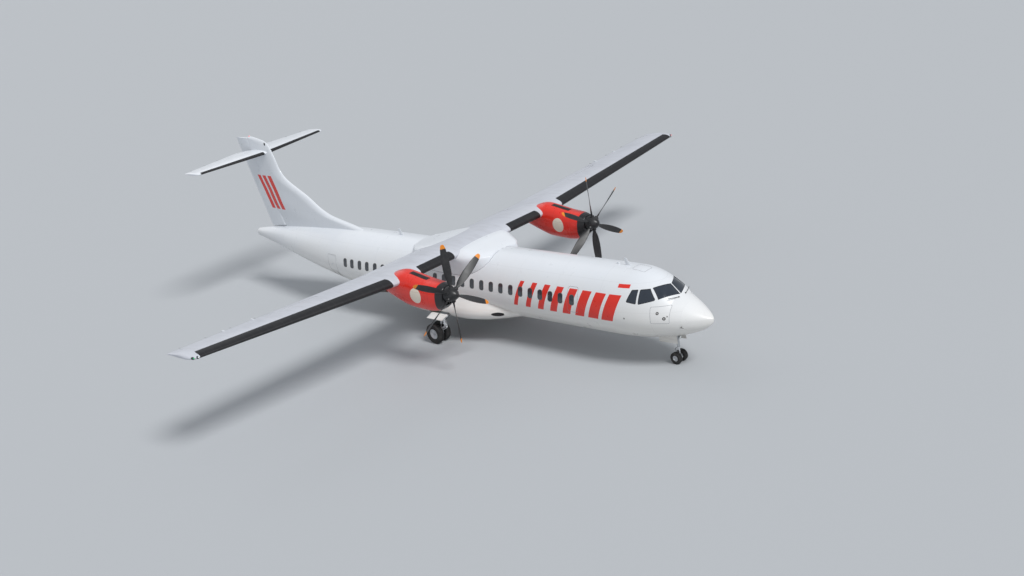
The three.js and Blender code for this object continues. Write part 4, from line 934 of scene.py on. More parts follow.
# %% Cockpit section
GLASS_SINK = 0.012
GLASS_DEPTH = 0.045
GLASS_CORNER = 0.02
POCKET_WALL = (-0.02, GLASS_SINK + 0.001)
SEAL_WALL = (-0.0015, GLASS_SINK)
SEAL_SIDES = 64
PANE_RADIUS = 0.035
SEAL_WIDTH = 0.016
GLASS_BAND = [
    (1.275, 0.56), (1.67, 1.005), (2.05, 1.02), (2.78, 0.99), (2.92, 0.52), (2.45, 0.43), (1.275, 0.43),
]
SIDE_PANES = [
    [(1.805, 0.602), (2.09, 0.93), (2.396, 0.93), (2.372, 0.49)],
    [(2.47, 0.5), (2.479, 0.928), (2.702, 0.915), (2.84, 0.56)],
]
FRONT_PANE = [(1.324, 0.035, 0.606), (1.676, 0.035, 0.946), (2.025, 0.6, 0.95), (1.707, 0.757, 0.622)]
PANE_SLOPE = 0.8
PANE_SLAB = (-0.12, 0.16)
COCKPIT = (1.0, 3.05)
ACROSS = (-1.5, 1.5)
NOSE_BAY = Sizes(s=(1.18, 2.42), half=0.27, top=-0.62)
CORNER_FACTOR = 1.3


def grown(corners, by):
    """An outline moved outwards by about the given distance: its corners move a little farther."""
    middle = middle_of(corners)
    aways = [Vector(corner) - middle for corner in corners]
    return [tuple(middle + away * (1 + by * CORNER_FACTOR / away.length)) for away in aways]


def front_pane_slab(name, corners, side):
    return skin(name, [[at(s - shift, side * y, z + shift * PANE_SLOPE) for s, y, z in corners]
                       for shift in PANE_SLAB])


def pane_cutters(by=0.0):
    tools = [side_prism("pane", grown(outline, by), PANE_RADIUS, *ACROSS) for outline in SIDE_PANES]
    return tools + [front_pane_slab("pane", grown(FRONT_PANE, by), side) for side in (1, -1)]


def cockpit_section():
    body = coat_with(hull("cockpit_section_skin", RADOME_END + SKIN_SEAM, ROOF_START), FUSELAGE_WHITE)
    for tool in pane_cutters():
        pocket = cut(shell("pocket", *COCKPIT, *POCKET_WALL), tool, operation="INTERSECT")
        cut(body, coat_with(pocket, SEAL_RUBBER))
    half, top = NOSE_BAY.half, NOSE_BAY.top
    return cut(body, coat_with(station_box("bay", NOSE_BAY.s, (-half, half), (-2, top)), BAY_PRIMER))


def window_seals():
    rims = []
    for wide, narrow in zip(pane_cutters(SEAL_WIDTH), pane_cutters()):
        wall = shell("rim", *COCKPIT, *SEAL_WALL, SEAL_SIDES)
        rims.append(cut(cut(wall, wide, operation="INTERSECT"), narrow))
    return join("cockpit_window_seals", rims)


def glazing():
    band = side_prism("band", GLASS_BAND, GLASS_CORNER, *ACROSS)
    return cut(shell("cockpit_glass", *COCKPIT, GLASS_SINK, GLASS_DEPTH), band, operation="INTERSECT")


finish(cockpit_section(), None, ["cockpit_section"])
finish(window_seals(), SEAL_RUBBER)
finish(glazing(), SCREEN_GLASS, ["cockpit_glazing"])
print("cockpit", made)

# %% [markdown]
# Behind the cockpit come four lengths of tube. Doorways are cut with boxes square to their hinge
# lines, deep enough to show a lined cabin when a door swings away. The wheel bays are cut from
# below.

# %% Fuselage lengths with their doorways
CARGO_DOOR = Sizes(s=(3.6, 4.875), z=(-0.69, 0.84), depth=1.5, wall=0.07, hinge="top")
PASSENGER_DOOR = Sizes(s=(19.5, 20.22), z=(-0.65, 1.08), depth=1.1, wall=0.07, hinge="bottom")
SERVICE_DOOR = Sizes(s=(19.56, 20.17), z=(-0.62, 0.6), depth=0.2, wall=0.07, hinge="middle")
DOOR_GAP = 0.008
SERVICE_GAP = 0.003
HINGE_FROM_EDGE = 0.05
MAIN_BAY = Sizes(s=(11.84, 13.12), y=(0.7, 2.3), top=-0.84)
OUTSIDE = 1.6
PANEL_INNER_Y = 0.3
PANEL_MARGIN = 0.3
DOOR_CORNER = 0.04


def doorway(door, gap, inner):
    """A rounded box over a doorway, turned in plan so that it is square to the hinge line."""
    (s0, s1), (z0, z1) = door.s, door.z
    hinges = {"top": z1 - HINGE_FROM_EDGE, "bottom": z0 + HINGE_FROM_EDGE, "middle": 0.0}
    height = hinges[door.hinge]
    y0, y1 = side_at(s0, height), side_at(s1, height)
    middle = at((s0 + s1) / 2, (y0 + y1) / 2, 0)
    half = (s1 - s0) / 2 - gap
    low = middle + Vector((-half, inner - (y0 + y1) / 2, z0 + gap))
    high = middle + Vector((half, OUTSIDE - (y0 + y1) / 2, z1 - gap))
    piece = box("doorway", low, high)
    in_edit_mode(piece, lambda: round_across(piece, DOOR_CORNER))
    return turned_about(piece, -atan2(y0 - y1, s1 - s0), "Z", middle)


def round_across(piece, radius):
    """Rounds only the four edges that run across the aircraft. In edit mode."""
    bpy.ops.mesh.select_all(action="DESELECT")
    bpy.ops.mesh.select_mode(type="EDGE")
    bpy.ops.object.mode_set(mode="OBJECT")
    for edge in piece.data.edges:
        a, b = (piece.data.vertices[i].co for i in edge.vertices)
        edge.select = abs((a - b).normalized().y) > 0.99
    bpy.ops.object.mode_set(mode="EDIT")
    bpy.ops.mesh.bevel(offset=radius, segments=5)
    bpy.ops.mesh.select_mode(type="VERT")
    bpy.ops.mesh.select_all(action="SELECT")


def pocket(door, side=1):
    space = coat_with(doorway(door, 0.0, BODY_RADIUS - door.depth), CABIN_LINING)
    return space if side > 0 else mirror_away(space)


def mirror_away(piece):
    """The piece itself moved to the other side of the aircraft."""
    twin = mirrored(piece, piece.name)
    bpy.data.objects.remove(piece)
    return twin


def door_panel(name, door, gap):
    s0, s1 = door.s
    wall = shell(name, s0 - PANEL_MARGIN, s1 + PANEL_MARGIN, 0.0, door.wall)
    edge = coat_with(doorway(door, gap, PANEL_INNER_Y), SEAL_RUBBER)
    return cut(coat_with(wall, FUSELAGE_WHITE), edge, operation="INTERSECT")


def wheel_bay(side):
    y = sorted(side * v for v in MAIN_BAY.y)
    return coat_with(station_box("bay", MAIN_BAY.s, y, (-2, MAIN_BAY.top)), BAY_PRIMER)


def fuselage_length(node, start, end, *cutters):
    body = coat_with(hull(node + "_skin", start + SKIN_SEAM, end), FUSELAGE_WHITE)
    return finish(cut(body, *cutters), None, [node])


fuselage_length("forward_fuselage", 3.15, 8.9, pocket(CARGO_DOOR))
fuselage_length("centre_fuselage", 8.9, 15.7, wheel_bay(1), wheel_bay(-1))
fuselage_length("aft_fuselage", 15.7, 21.6, pocket(PASSENGER_DOOR), pocket(SERVICE_DOOR, -1))
fuselage_length("tail_cone", 21.6, LENGTH)
print("fuselage lengths made", len(made))

# %% [markdown]
# The doors are cut from the same wall as the fuselage, so they lie flush when shut, and each has a
# flush handle. The passenger door drops on its lower hinge to become stairs. The cargo door's
# inside shows its frames.

# %% Doors
HANDLE = Sizes(length=0.16, height=0.035)
FRAMES = Sizes(
    count=6, rows=10, from_side=0.12, from_end=0.1,
    corners=[(-0.015, 0.003), (0.015, 0.003), (0.015, -0.035), (-0.015, -0.035)],
)
TREADS = Sizes(count=5, z=(-0.4, 0.75), from_side=0.12, deep=0.19, lap=0.02, thick=0.03, bevel=0.008)
TREADS_TURN_Y = 0.8


def handle(s, z, side, name):
    """A flush lever with round ends on the skin."""
    y, reach = side_at(s, z), HANDLE.length / 2
    ends = [at(end, side * y, z) for end in (s - reach, s + reach)]
    lever = rod(name, *ends, HANDLE.height / 2, sides=16, bevel=0.006)
    lean = side_at(s + 0.1, z) - side_at(s - 0.1, z)
    return turned_about(lever, side * atan2(lean, 0.2), "Z", at(s, side * y, z))


def inner_frames():
    """Upright frames on the cargo door's inside, following its wall."""
    (s0, s1), (z0, z1) = CARGO_DOOR.s, CARGO_DOOR.z
    frames = []
    for s in steps(s0 + FRAMES.from_side, s1 - FRAMES.from_side, FRAMES.count - 1):
        rows = []
        for z in steps(z0 + FRAMES.from_end, z1 - FRAMES.from_end, FRAMES.rows):
            y = side_at(s, z) - CARGO_DOOR.wall
            rows.append([at(s + a, y + b, z) for a, b in FRAMES.corners])
        frames.append(skin("frame", rows))
    return join("cargo_door_frames", frames)


def stair_steps():
    """The treads on the inside of the passenger door."""
    s0, s1 = PASSENGER_DOOR.s
    middle, along = (s0 + s1) / 2, (s0 + TREADS.from_side, s1 - TREADS.from_side)
    treads = []
    for z in steps(*TREADS.z, TREADS.count - 1):
        y = side_at(middle, z) - PASSENGER_DOOR.wall
        across = (y - TREADS.deep, y + TREADS.lap)
        treads.append(station_box("tread", along, across, (z, z + TREADS.thick), TREADS.bevel))
    lean, centre = atan2(side_at(s0, 0) - side_at(s1, 0), s1 - s0), at(middle, TREADS_TURN_Y, 0)
    return turned_about(join("passenger_door_steps", treads), -lean, "Z", centre)


SWINGING_DOORS = [  # name, door, its handle's place, its inside with slot and material
    ("cargo_door", CARGO_DOOR, (4.24, -0.45), inner_frames, "white_paint", BAY_PRIMER),
    ("passenger_door", PASSENGER_DOOR, (19.68, 0.35), stair_steps, "gear_steel", DARK_METAL),
]
for name, door, lever, inside, slot, material in SWINGING_DOORS:
    body = name + "_body"
    finish(door_panel(name + "_skin", door, DOOR_GAP), None, [name], body=body)
    finish(inside(), material, body=body)
    finish(handle(*lever, 1, name + "_handle"), BRIGHT_METAL, body=body)
service = mirror_away(door_panel("service_door_skin", SERVICE_DOOR, SERVICE_GAP))
finish(service, None, ["service_door"])
finish(handle(19.86, 0.2, -1, "service_door_handle"), BRIGHT_METAL)
print("doors made")

# %% [markdown]
# A cabin window is a dark rounded pane in a slim frame. Its loops are drawn on the skin itself, so
# the pane follows the curve of the wall. They run from the frame's foot over its rim and in to the
# middle of the pane.

# %% Cabin windows
WINDOW_Z = 0.365
WINDOW_SIZE = (0.245, 0.385)
WINDOW_RADIUS = 0.095
WINDOW_RIM = 0.013
WINDOW_FRAME = [(1.02, -0.006), (1.0, 0.003), (0.97, 0.005)]  # share of the outline, lift off the skin
PANE_LIFT = 0.0025
PANE_EDGE = 0.015
PANE_LOOPS = (0.6, 0.25)
FORWARD_WINDOWS = [
    5.359, 5.936, 6.451, 6.974, 7.494, 8.016, 8.546, 9.088, 9.623, 10.159, 10.703, 11.255, 11.786, 12.354,
    12.893,
]
AFT_WINDOWS = [16.232, 16.747, 17.289, 17.797, 18.339, 18.831]
WINDOWS = FORWARD_WINDOWS + AFT_WINDOWS


def rectangle(s, z):
    return [(s[0], z[0]), (s[1], z[0]), (s[1], z[1]), (s[0], z[1])]


def on_skin(s, z, side, out=0.0):
    """A point at a height on the fuselage's side, or a little off it."""
    half, top, bottom, middle, pinch = fuselage_shape(s)
    if z > middle:
        angle = acos(min(1, ((z - middle) / (top - middle)) ** (1 / pinch)))
    else:
        angle = pi - acos(min(1, (middle - z) / (middle - bottom)))
    return section_point(s, side * angle, -out)


def window(s, side):
    (width, height), pane = WINDOW_SIZE, 1 - 2 * WINDOW_RIM / WINDOW_SIZE[0]
    outer = rounded_outline(rectangle((-width / 2, width / 2), (-height / 2, height / 2)), WINDOW_RADIUS, 6)
    loops = [*WINDOW_FRAME, (pane, WINDOW_FRAME[-1][1])]
    loops += [(share, PANE_LIFT) for share in (pane - PANE_EDGE, *PANE_LOOPS)]
    piece = skin("window", [[on_skin(s + x * share, WINDOW_Z + z * share, side, out) for x, z in outer]
                            for share, out in loops])
    for material in (DARK_METAL, CABIN_GLASS):
        piece.data.materials.append(material)
    for face in piece.data.polygons:
        face.material_index = int(face.index >= len(WINDOW_FRAME) * len(outer))
    return piece


glass = join("cabin_windows", [window(s, side) for side in (1, -1) for s in WINDOWS])
finish(glass, None)
print("windows on each side", len(WINDOWS))

# %% [markdown]
# The wing, its flaps and the tailplane share one aerofoil formula. A table gives the leading edge,
# chord, thickness and height by span, and a point on a surface is named by span, fraction of the
# chord and side.

# %% Aerofoil surfaces
WING_ROWS = [  # span, leading edge, chord, thickness, height
    (0, 11.12, 2.57, 0.18, 1.565),
    (4.45, 11.12, 2.57, 0.18, 1.565),
    (13.2, 11.637, 1.726, 0.131, 2.087),
    (HALF_SPAN, 12.2, 1.09, 0.06, 2.093),
]
TAILPLANE_ROWS = [
    (0, 24.71, 2.07, 0.12, 4.747),
    (3.52, 25.185, 1.135, 0.11, 4.747),
    (3.655, 25.425, 0.81, 0.06, 4.747),
]
WING = Sizes(rows=WING_ROWS, camber=0.02, incidence=radians(2))
TAILPLANE = Sizes(rows=TAILPLANE_ROWS, camber=0.0, incidence=0.0)
CHORD_STEPS = 22


def span_row(rows, y):
    i = 0
    while i < len(rows) - 2 and rows[i + 1][0] < y:
        i += 1
    a, b = rows[i], rows[i + 1]
    part = (y - a[0]) / (b[0] - a[0])
    return [u + (v - u) * part for u, v in zip(a, b)]


def on_surface(surface, y, fraction, side, out=0.0):
    """A point at a span and a fraction of the chord: side 1 is the top, -1 the bottom, 0 between."""
    _, edge, chord, thickness, z = span_row(surface.rows, y)
    x = max(fraction, 0.0)
    body = 0.2969 * sqrt(x) - 0.126 * x - 0.3516 * x**2 + 0.2843 * x**3 - 0.1015 * x**4
    height = (4 * surface.camber * x * (1 - x) + side * 5 * thickness * body) * chord + side * out
    return at(edge + x * chord, y, z + height - x * chord * sin(surface.incidence))


def chord_ring(surface, y, start=0.0, end=1.0):
    parts = eased(start, end, CHORD_STEPS)
    upper, lower = ([on_surface(surface, y, part, side) for part in parts] for side in (1, -1))
    return upper + lower[1 if start == 0 else 0:][::-1]


NOSE_STEPS = 12
MOVING_GAP = 0.008


def nose_arc(centre, radius, y):
    angles = [pi / 2 - pi * k / NOSE_STEPS for k in range(1, NOSE_STEPS)]
    return [Vector((centre.x + radius * cos(a), y, centre.z + radius * sin(a))) for a in angles]


def moving_surface(name, surface, fraction, inner, outer):
    """A trailing surface with a round nose about its hinge line."""
    rings = []
    for y in (inner, outer):
        top, bottom, centre = (on_surface(surface, y, fraction, side) for side in (1, -1, 0))
        tail = [fraction + (1 - fraction) * part for part in steps(1, 0, 6)]
        ring = [on_surface(surface, y, part, 1) for part in tail]
        ring += nose_arc(centre, (top.z - bottom.z) / 2, y)
        ring += [on_surface(surface, y, part, -1) for part in tail[::-1]]
        rings.append(ring)
    return skin(name, rings)


def moving_room(surface, fraction, inner, outer):
    """The room that a movable surface needs, as a cutter."""
    far = 0.4
    rings = []
    for y in (inner, outer):
        top, bottom, centre = (on_surface(surface, y, fraction, side) for side in (1, -1, 0))
        end = on_surface(surface, y, 1, 0)
        radius = (top.z - bottom.z) / 2 + MOVING_GAP
        ring = [Vector((end.x - far, y, centre.z + far)), Vector((centre.x, y, centre.z + far))]
        ring += [Vector((centre.x, y, centre.z + radius)), *nose_arc(centre, radius, y)]
        ring += [Vector((centre.x, y, centre.z - radius)), Vector((centre.x, y, centre.z - far))]
        ring.append(Vector((end.x - far, y, centre.z - far)))
        rings.append(ring)
    return coat_with(skin("room", rings), DARK_METAL)


print("wing chord at mid span", [round(v, 3) for v in span_row(WING_ROWS, 9)])

# %% [markdown]
# The wing is one tapered form each side of a straight centre. The flaps, ailerons and spoilers
# leave coves in it. A few closer sections round the wing tip's edge.

# %% Wing
WING_SPLIT = 4.45
WING_JOINT = 0.0006
FLAP_START = 0.74
AILERON_HINGE = 0.74
INNER_FLAP = Sizes(inner=1.72, outer=3.52, fairings=[2.62])
OUTER_FLAP = Sizes(inner=4.64, outer=9.07, fairings=[5.75, 8.05])
AILERON = Sizes(inner=9.24, outer=13.08)
SPOILER = Sizes(front=0.62, back=0.72, inner=7.25, outer=8.9, thick=0.022)
FLAP_ENDS = (MOVING_GAP, 0.017)
AILERON_ENDS = (0.013, 0.013)
SPOILER_RECESS = (0.012, 0.06, 0.044)


def tip_ring(surface, y):
    """A section whose last stretch closes to the tip on a rounded line."""
    start, end = surface.rows[-2][0], surface.rows[-1][0]
    if y <= start:
        return chord_ring(surface, y)
    part = (y - start) / (end - start)
    share = 1 - sqrt(max(0, 1 - part * part))
    pairs = zip(chord_ring(surface, start), chord_ring(surface, end))
    return [Vector((a.x + (b.x - a.x) * share, y, a.z + (b.z - a.z) * share)) for a, b in pairs]


def spoiler_form(name, grow, up, down):
    rings = []
    for y in (SPOILER.inner - grow, SPOILER.outer + grow):
        front = on_surface(WING, y, SPOILER.front, 1)
        back = on_surface(WING, y, SPOILER.back, 1)
        corners = [(front.x + grow, front.z), (back.x - grow, back.z)]
        raised = [Vector((x, y, z + up)) for x, z in corners]
        rings.append(raised + [Vector((x, y, z - down)) for x, z in corners[::-1]])
    return skin(name, rings)


def room_for(span, start, ends):
    """The room for a surface between two spans, with a gap at each end."""
    return moving_room(WING, start, span.inner - ends[0], span.outer + ends[1])


def wing_centre():
    spans = steps(-WING_SPLIT + WING_JOINT, WING_SPLIT - WING_JOINT, 12)
    rings = [[Vector((p.x, y, p.z)) for p in chord_ring(WING, abs(y))] for y in spans]
    wing = coat_with(skin("wing_centre_skin", rings), WING_PAINT)
    room = room_for(INNER_FLAP, FLAP_START, FLAP_ENDS)
    return cut(wing, mirrored(room, "room"), room)


def wing_outer():
    tip = WING_ROWS[-2][0]
    spans = steps(WING_SPLIT + WING_JOINT, tip, 14)
    spans += [tip + (HALF_SPAN - tip) * sin(k * pi / 20) for k in range(1, 11)]
    wing = coat_with(skin("wing_outer_skin_left", [tip_ring(WING, y) for y in spans]), WING_PAINT)
    flap = room_for(OUTER_FLAP, FLAP_START, FLAP_ENDS)
    aileron = room_for(AILERON, AILERON_HINGE, AILERON_ENDS)
    recess = coat_with(spoiler_form("recess", *SPOILER_RECESS), DARK_METAL)
    return cut(wing, flap, aileron, recess)


def both_sides(piece, material=None, node=None, angle=32, body="airframe"):
    """Finishes a port piece, and the same piece on the other side, as a pair."""
    twin = mirrored(piece, piece.name.replace("_left", "_right"))
    pair = []
    for one, side in ((piece, "left"), (twin, "right")):
        nodes = [f"{node}_{side}"] if node else []
        pair.append(finish(one, material, nodes, angle, body.format(side=side)))
    return pair


finish(wing_centre(), None, ["wing_centre"], 30)
both_sides(wing_outer(), None, "wing_outer", 30)
print("wing made")

# %% [markdown]
# Flaps, ailerons and spoilers ride on their own bodies. Slim boats under each flap cover its
# hinges: the front ones belong to the wing and the rear ones move with the flap.

# %% Moving surfaces of the wing
FLAP_HINGE = 0.76
FLAP_HINGE_DROP = 0.14
BOAT_FRONT = [  # aft of the hinge, half width, top, bottom
    (-0.84, 0.006, 0.175, 0.16), (-0.8, 0.026, 0.2, 0.13), (-0.66, 0.048, 0.2, 0.06),
    (-0.45, 0.06, 0.2, -0.005), (-0.25, 0.063, 0.2, -0.04), (-0.06, 0.063, 0.1, -0.05),
    (0.03, 0.06, 0.055, -0.048),
]
BOAT_REAR = [
    (0.078, 0.06, 0.19, -0.04), (0.3, 0.056, 0.19, -0.014), (0.5, 0.04, 0.175, 0.04),
    (0.64, 0.022, 0.15, 0.092), (0.7, 0.006, 0.138, 0.118),
]
BOAT_STEPS = 18
BOAT_SIDES = 20
BOAT_SHARPNESS = 0.8


def flap_hinge(y):
    point = on_surface(WING, y, FLAP_HINGE, -1)
    return Vector((point.x, y, point.z - FLAP_HINGE_DROP))


def rounded(value, sharpness):
    """A sine or cosine bent so that a round becomes squarer."""
    return copysign(abs(value) ** sharpness, value)


def boat(rows, hinge):
    """A slim fairing below the wing, lofted from rounded sections."""
    rings = []
    for aft in steps(rows[0][0], rows[-1][0], BOAT_STEPS):
        half, top, bottom = between(rows, aft)
        middle, tall = (top + bottom) / 2, (top - bottom) / 2
        rings.append([Vector((
            hinge.x - aft, hinge.y + half * rounded(sin(angle), BOAT_SHARPNESS),
            hinge.z + (middle + tall * rounded(cos(angle), BOAT_SHARPNESS)),
        )) for angle in turns(BOAT_SIDES)])
    return skin("boat", rings)


def add_flap(flap, name):
    rides_on = name + "_{side}_body"
    body = moving_surface(f"{name}_skin_left", WING, FLAP_START + 0.012, flap.inner, flap.outer)
    both_sides(body, WING_PAINT, name, body=rides_on)
    for place, rows, carrier in (("rear", BOAT_REAR, rides_on), ("front", BOAT_FRONT, "airframe")):
        boats = [boat(rows, flap_hinge(y)) for y in flap.fairings]
        both_sides(join(f"{name}_fairings_{place}_left", boats), PLAIN_WHITE, body=carrier)


add_flap(INNER_FLAP, "inner_flap")
add_flap(OUTER_FLAP, "outer_flap")
aileron = moving_surface("aileron_skin_left", WING, AILERON_HINGE, AILERON.inner, AILERON.outer)
both_sides(aileron, WING_PAINT, "aileron", body="aileron_{side}_body")
spoiler = apply(spoiler_form("spoiler_skin_left", 0, 0, SPOILER.thick), "BEVEL", width=0.003, segments=2)
both_sides(spoiler, WING_PAINT, "spoiler", body="spoiler_{side}_body")
print("moving surfaces made", len(made))

# %% [markdown]
# Black rubber boots cover the leading edges and are blown up in flight to crack off ice. Each is a
# thin sleeve a few millimetres proud: a grid wrapped from the top round the edge to the bottom,
# with its ends drawn in to a round.

# %% De-icing boots
BOOT_LIFT = 0.0035
BOOT_ROUND = 0.05
BOOT_THICKNESS = 0.006
BOOT_SPANS = 40
BOOT_REACHES = 16
BOOT_CROWDING = 1.6
BOOT_RAMP = 5


def boot(name, surface, inner, outer, top, bottom):
    """top and bottom are how far the boot reaches aft on each face, in metres."""
    rows = []
    for y in eased(inner, outer, BOOT_SPANS):
        near = min(1.0, (y - inner) / BOOT_ROUND, (outer - y) / BOOT_ROUND)
        share = max(sqrt(max(0.0, 1 - (1 - near) ** 2)), 0.02)
        chord = span_row(surface.rows, y)[2]
        row = []
        for k in range(-BOOT_REACHES, BOOT_REACHES + 1):
            fraction = (top if k > 0 else bottom) * share / chord * (abs(k) / BOOT_REACHES) ** BOOT_CROWDING
            ramp = min(1.0, abs(k) / BOOT_RAMP)
            point = on_surface(surface, y, fraction, (k > 0) - (k < 0), BOOT_LIFT * ramp)
            row.append(point + Vector((BOOT_LIFT * (1 - ramp), 0, 0)))
        rows.append(row)
    return sheet_of(name, rows, BOOT_THICKNESS)


def sheet_of(name, rows, thickness):
    """An open sheet from rows of places, given its thickness inwards."""
    bpy.ops.object.select_all(action="DESELECT")
    bpy.ops.mesh.primitive_grid_add(x_subdivisions=len(rows[0]) - 1, y_subdivisions=len(rows) - 1)
    piece = bpy.context.object
    piece.name = name
    piece.data.vertices.foreach_set("co", [number for row in rows for point in row for number in point])
    in_edit_mode(piece, face_out)
    return apply(piece, "SOLIDIFY", thickness=thickness, offset=-1.0)


BOOTS = [  # name, surface, inner and outer span, top and bottom reach
    ("wing_boot_inner_left", WING, 1.62, 3.44, 0.29, 0.2),
    ("wing_boot_outer_left", WING, 4.86, 13.19, 0.38, 0.2),
    ("tailplane_boot_left", TAILPLANE, 0.2, 3.46, 0.11, 0.14),
]
for row in BOOTS:
    both_sides(boot(*row), BOOT, None, 60)
print("boots made")

# %% [markdown]
# A saddle blends the wing into the top of the fuselage. Each section widens from the crown to a
# shoulder and comes down to a skirt on the skin, and a thin joint line follows its edge.

# %% Wing and fuselage fairing
SADDLE_ROWS = [  # station, half width, crown, skirt
    (10.06, 0.76, 1.44, 1.18), (10.28, 1.06, 1.51, 0.98), (10.7, 1.33, 1.62, 0.77),
    (11.15, 1.5, 1.72, 0.65), (12.0, 1.56, 1.76, 0.63), (13.0, 1.5, 1.7, 0.65),
    (13.7, 1.33, 1.6, 0.78), (14.3, 1.0, 1.5, 1.02), (14.7, 0.6, 1.44, 1.28),
]
SADDLE = Sizes(shoulder=0.72, proud=0.006, belly=0.02, lap=0.06)
SADDLE_STEPS = 48
LINE_WIDTH = 0.014
LINE_PROUD = 0.0022
LINE_THICKNESS = 0.0015


def saddle_ring(s):
    half, top, skirt = between(SADDLE_ROWS, s)
    foot = side_at(s, skirt) + SADDLE.proud
    shoulder = skirt + (top - skirt) * SADDLE.shoulder
    side = max(half, side_at(s, shoulder) + SADDLE.proud)
    outline = [
        (0, 0, top), (1, half * 0.5, top - 0.014), (2, half * 0.82, top - 0.06), (3, side, shoulder),
        (4, (side + foot) / 2 + SADDLE.belly, (shoulder + skirt) / 2), (5, foot, skirt),
    ]
    port = [between(outline, k) for k in steps(0, 5, 30)]
    port.append((foot - SADDLE.lap, skirt - 0.001))
    return [at(s, y, z) for y, z in port] + [at(s, -y, z) for y, z in port[:0:-1]]


def strip(name, outer, inner):
    """A thin closed band between two loops of points."""
    return sheet_of(name, [[*outer, outer[0]], [*inner, inner[0]]], LINE_THICKNESS)


def line_along(path, across):
    """A thin open band beside a path: across gives the direction of its width at each point."""
    rows = [[p + a * (LINE_WIDTH * side) for p, a in zip(path, across)] for side in (-0.5, 0.5)]
    return sheet_of("line", rows, LINE_THICKNESS)


def saddle_line():
    """The joint in front of the fairing and down to its lowest edge, on both sides."""
    skirts = [(s, between(SADDLE_ROWS, s)[2]) for s in steps(10.06, 13.6, 40)]
    path = [on_skin(s - 0.01, skirt - 0.012, 1, LINE_PROUD) for s, skirt in skirts]
    slanted, down = Vector((0.5, 0, -0.85)).normalized(), Vector((0, 0, -1))
    side = line_along(path, [slanted if k < 10 else down for k in range(len(path))])
    crown = [on_skin(10.045, z, 1, LINE_PROUD) for z in steps(1.17, BODY_RADIUS, 16)]
    half = join("line", [side, line_along(crown, [Vector((1, 0, 0))] * len(crown))])
    return join("fairing_joint_line", [mirrored(half, "line"), half])


saddle = skin("wing_fairing_skin", [saddle_ring(s) for s in places_along(SADDLE_ROWS, SADDLE_STEPS)])
finish(saddle, PLAIN_WHITE, ["wing_fuselage_fairing"], 40)
finish(saddle_line(), SEAM_LINE)
print("saddle made")

# %% [markdown]
# Below the wing the body carries a broad blister that houses the main wheels. The wheel bays are
# cut from below, and each side's front has an air inlet: a shallow dish coated black, as painted
# shade of a deep opening.

# %% Main gear fairing
BULGE_TOP = -0.6
BULGE_OUTLINE = [  # place along the outline, width, height
    (0, 0.0, -0.6), (1, 1.25, -0.2), (2, 1.56, -0.38), (3, 1.8, -0.6), (4, 1.86, -0.8),
    (5, 1.79, -0.97), (6, 1.56, -1.13), (7, 1.1, -1.26), (8, 0.0, -1.32),
]
BULGE_ROWS = [  # station, size
    (8.5, 0.57), (9.0, 0.68), (9.6, 0.81), (10.4, 0.94), (11.2, 1.0), (13.4, 1.0), (14.5, 0.93),
    (15.3, 0.8), (15.69, 0.68),
]
INLET = Sizes(s=(9.2, 9.72), z=-0.76, radius=0.085, sunk=0.015, deep=0.055)
BULGE_STEPS = 44


def bulge_ring(s):
    size = between(BULGE_ROWS, s)[0]
    port = [between(BULGE_OUTLINE, k) for k in steps(1, 8, 42)[:-1]]
    places = [(0.0, BULGE_TOP)] + [(y * size, BULGE_TOP + (z - BULGE_TOP) * size) for y, z in port]
    places.append((0.0, BULGE_TOP + (BULGE_OUTLINE[-1][2] - BULGE_TOP) * size))
    return [at(s, y, z) for y, z in places] + [at(s, -y, z) for y, z in places[-2:0:-1]]


def bulge_width(s, z):
    """How far out the blister lies at a station and a height."""
    return max(p.y for p in bulge_ring(s) if abs(p.z - WIDEST - z) < 0.06)


def inlet_cutter(side):
    rings = []
    for part, s in zip(steps(0, 1, 10), steps(*INLET.s, 10)):
        r = INLET.radius * max(0.25, sin(pi * (0.16 + 0.72 * part)))
        y = bulge_width(s, INLET.z) - INLET.sunk
        rings.append([at(s, side * (y + INLET.deep * cos(a)), INLET.z + r * sin(a))
                      for a in turns(16)])
    # Painted shade: the shallow dish is coated black so that it reads as a deep opening.
    return coat_with(skin("inlet", rings), BLACK_PAINT)


def gear_fairing():
    rings = [bulge_ring(s) for s in places_along(BULGE_ROWS, BULGE_STEPS)]
    body = coat_with(skin("gear_fairing_skin", rings), PLAIN_WHITE)
    return cut(body, wheel_bay(1), wheel_bay(-1), inlet_cutter(1), inlet_cutter(-1))


sides = ["main_gear_fairing_left", "main_gear_fairing_right"]
finish(gear_fairing(), None, sides, 40)
print("blister width", round(bulge_width(12, -0.8), 3))

# %% [markdown]
# The fin grows out of a long dorsal root. Its sections are horizontal: a round nose, nearly flat
# sides and a thin trailing edge. The rudder is parted from it along a leaning hinge line, so its
# nose is a round about that line.

# %% Fin and rudder
FIN_ROWS = [  # height, leading edge, trailing edge, thickness
    (0.82, 18.7, 25.725, 0.36),
    (1.4, 18.72, 25.895, 0.35),
    (1.955, 21.03, 26.055, 0.34),
    (2.78, 22.475, 26.3, 0.32),
    (3.6, 23.91, 26.54, 0.3),
    (4.64, 24.4, 26.845, 0.27),
    (5.125, 24.64, 26.985, 0.25),
    (5.29, 24.9, 27.033, 0.225),
    (5.4, 25.38, 27.065, 0.19),
    (5.48, 25.85, 27.085, 0.13),
]
FIN_TOP = 5.48
FIN_CROWN = 0.06
FIN_NOSE = 0.6
FIN_EDGE = 0.006
FIN_FULLNESS = 0.45
FIN_SIDES = 3.6
FIN_TAPER = 1.9
TAIL_REACH = 28
RUDDER = Sizes(bottom=1.19, tail=1.06, top=5.4, base=24.69, head=26.125)
RUDDER_LEAN = (RUDDER.head - RUDDER.base) / (RUDDER.top - RUDDER.bottom)
RUDDER_GAP = 0.013
RUDDER_FLOOR_GAP = 0.03
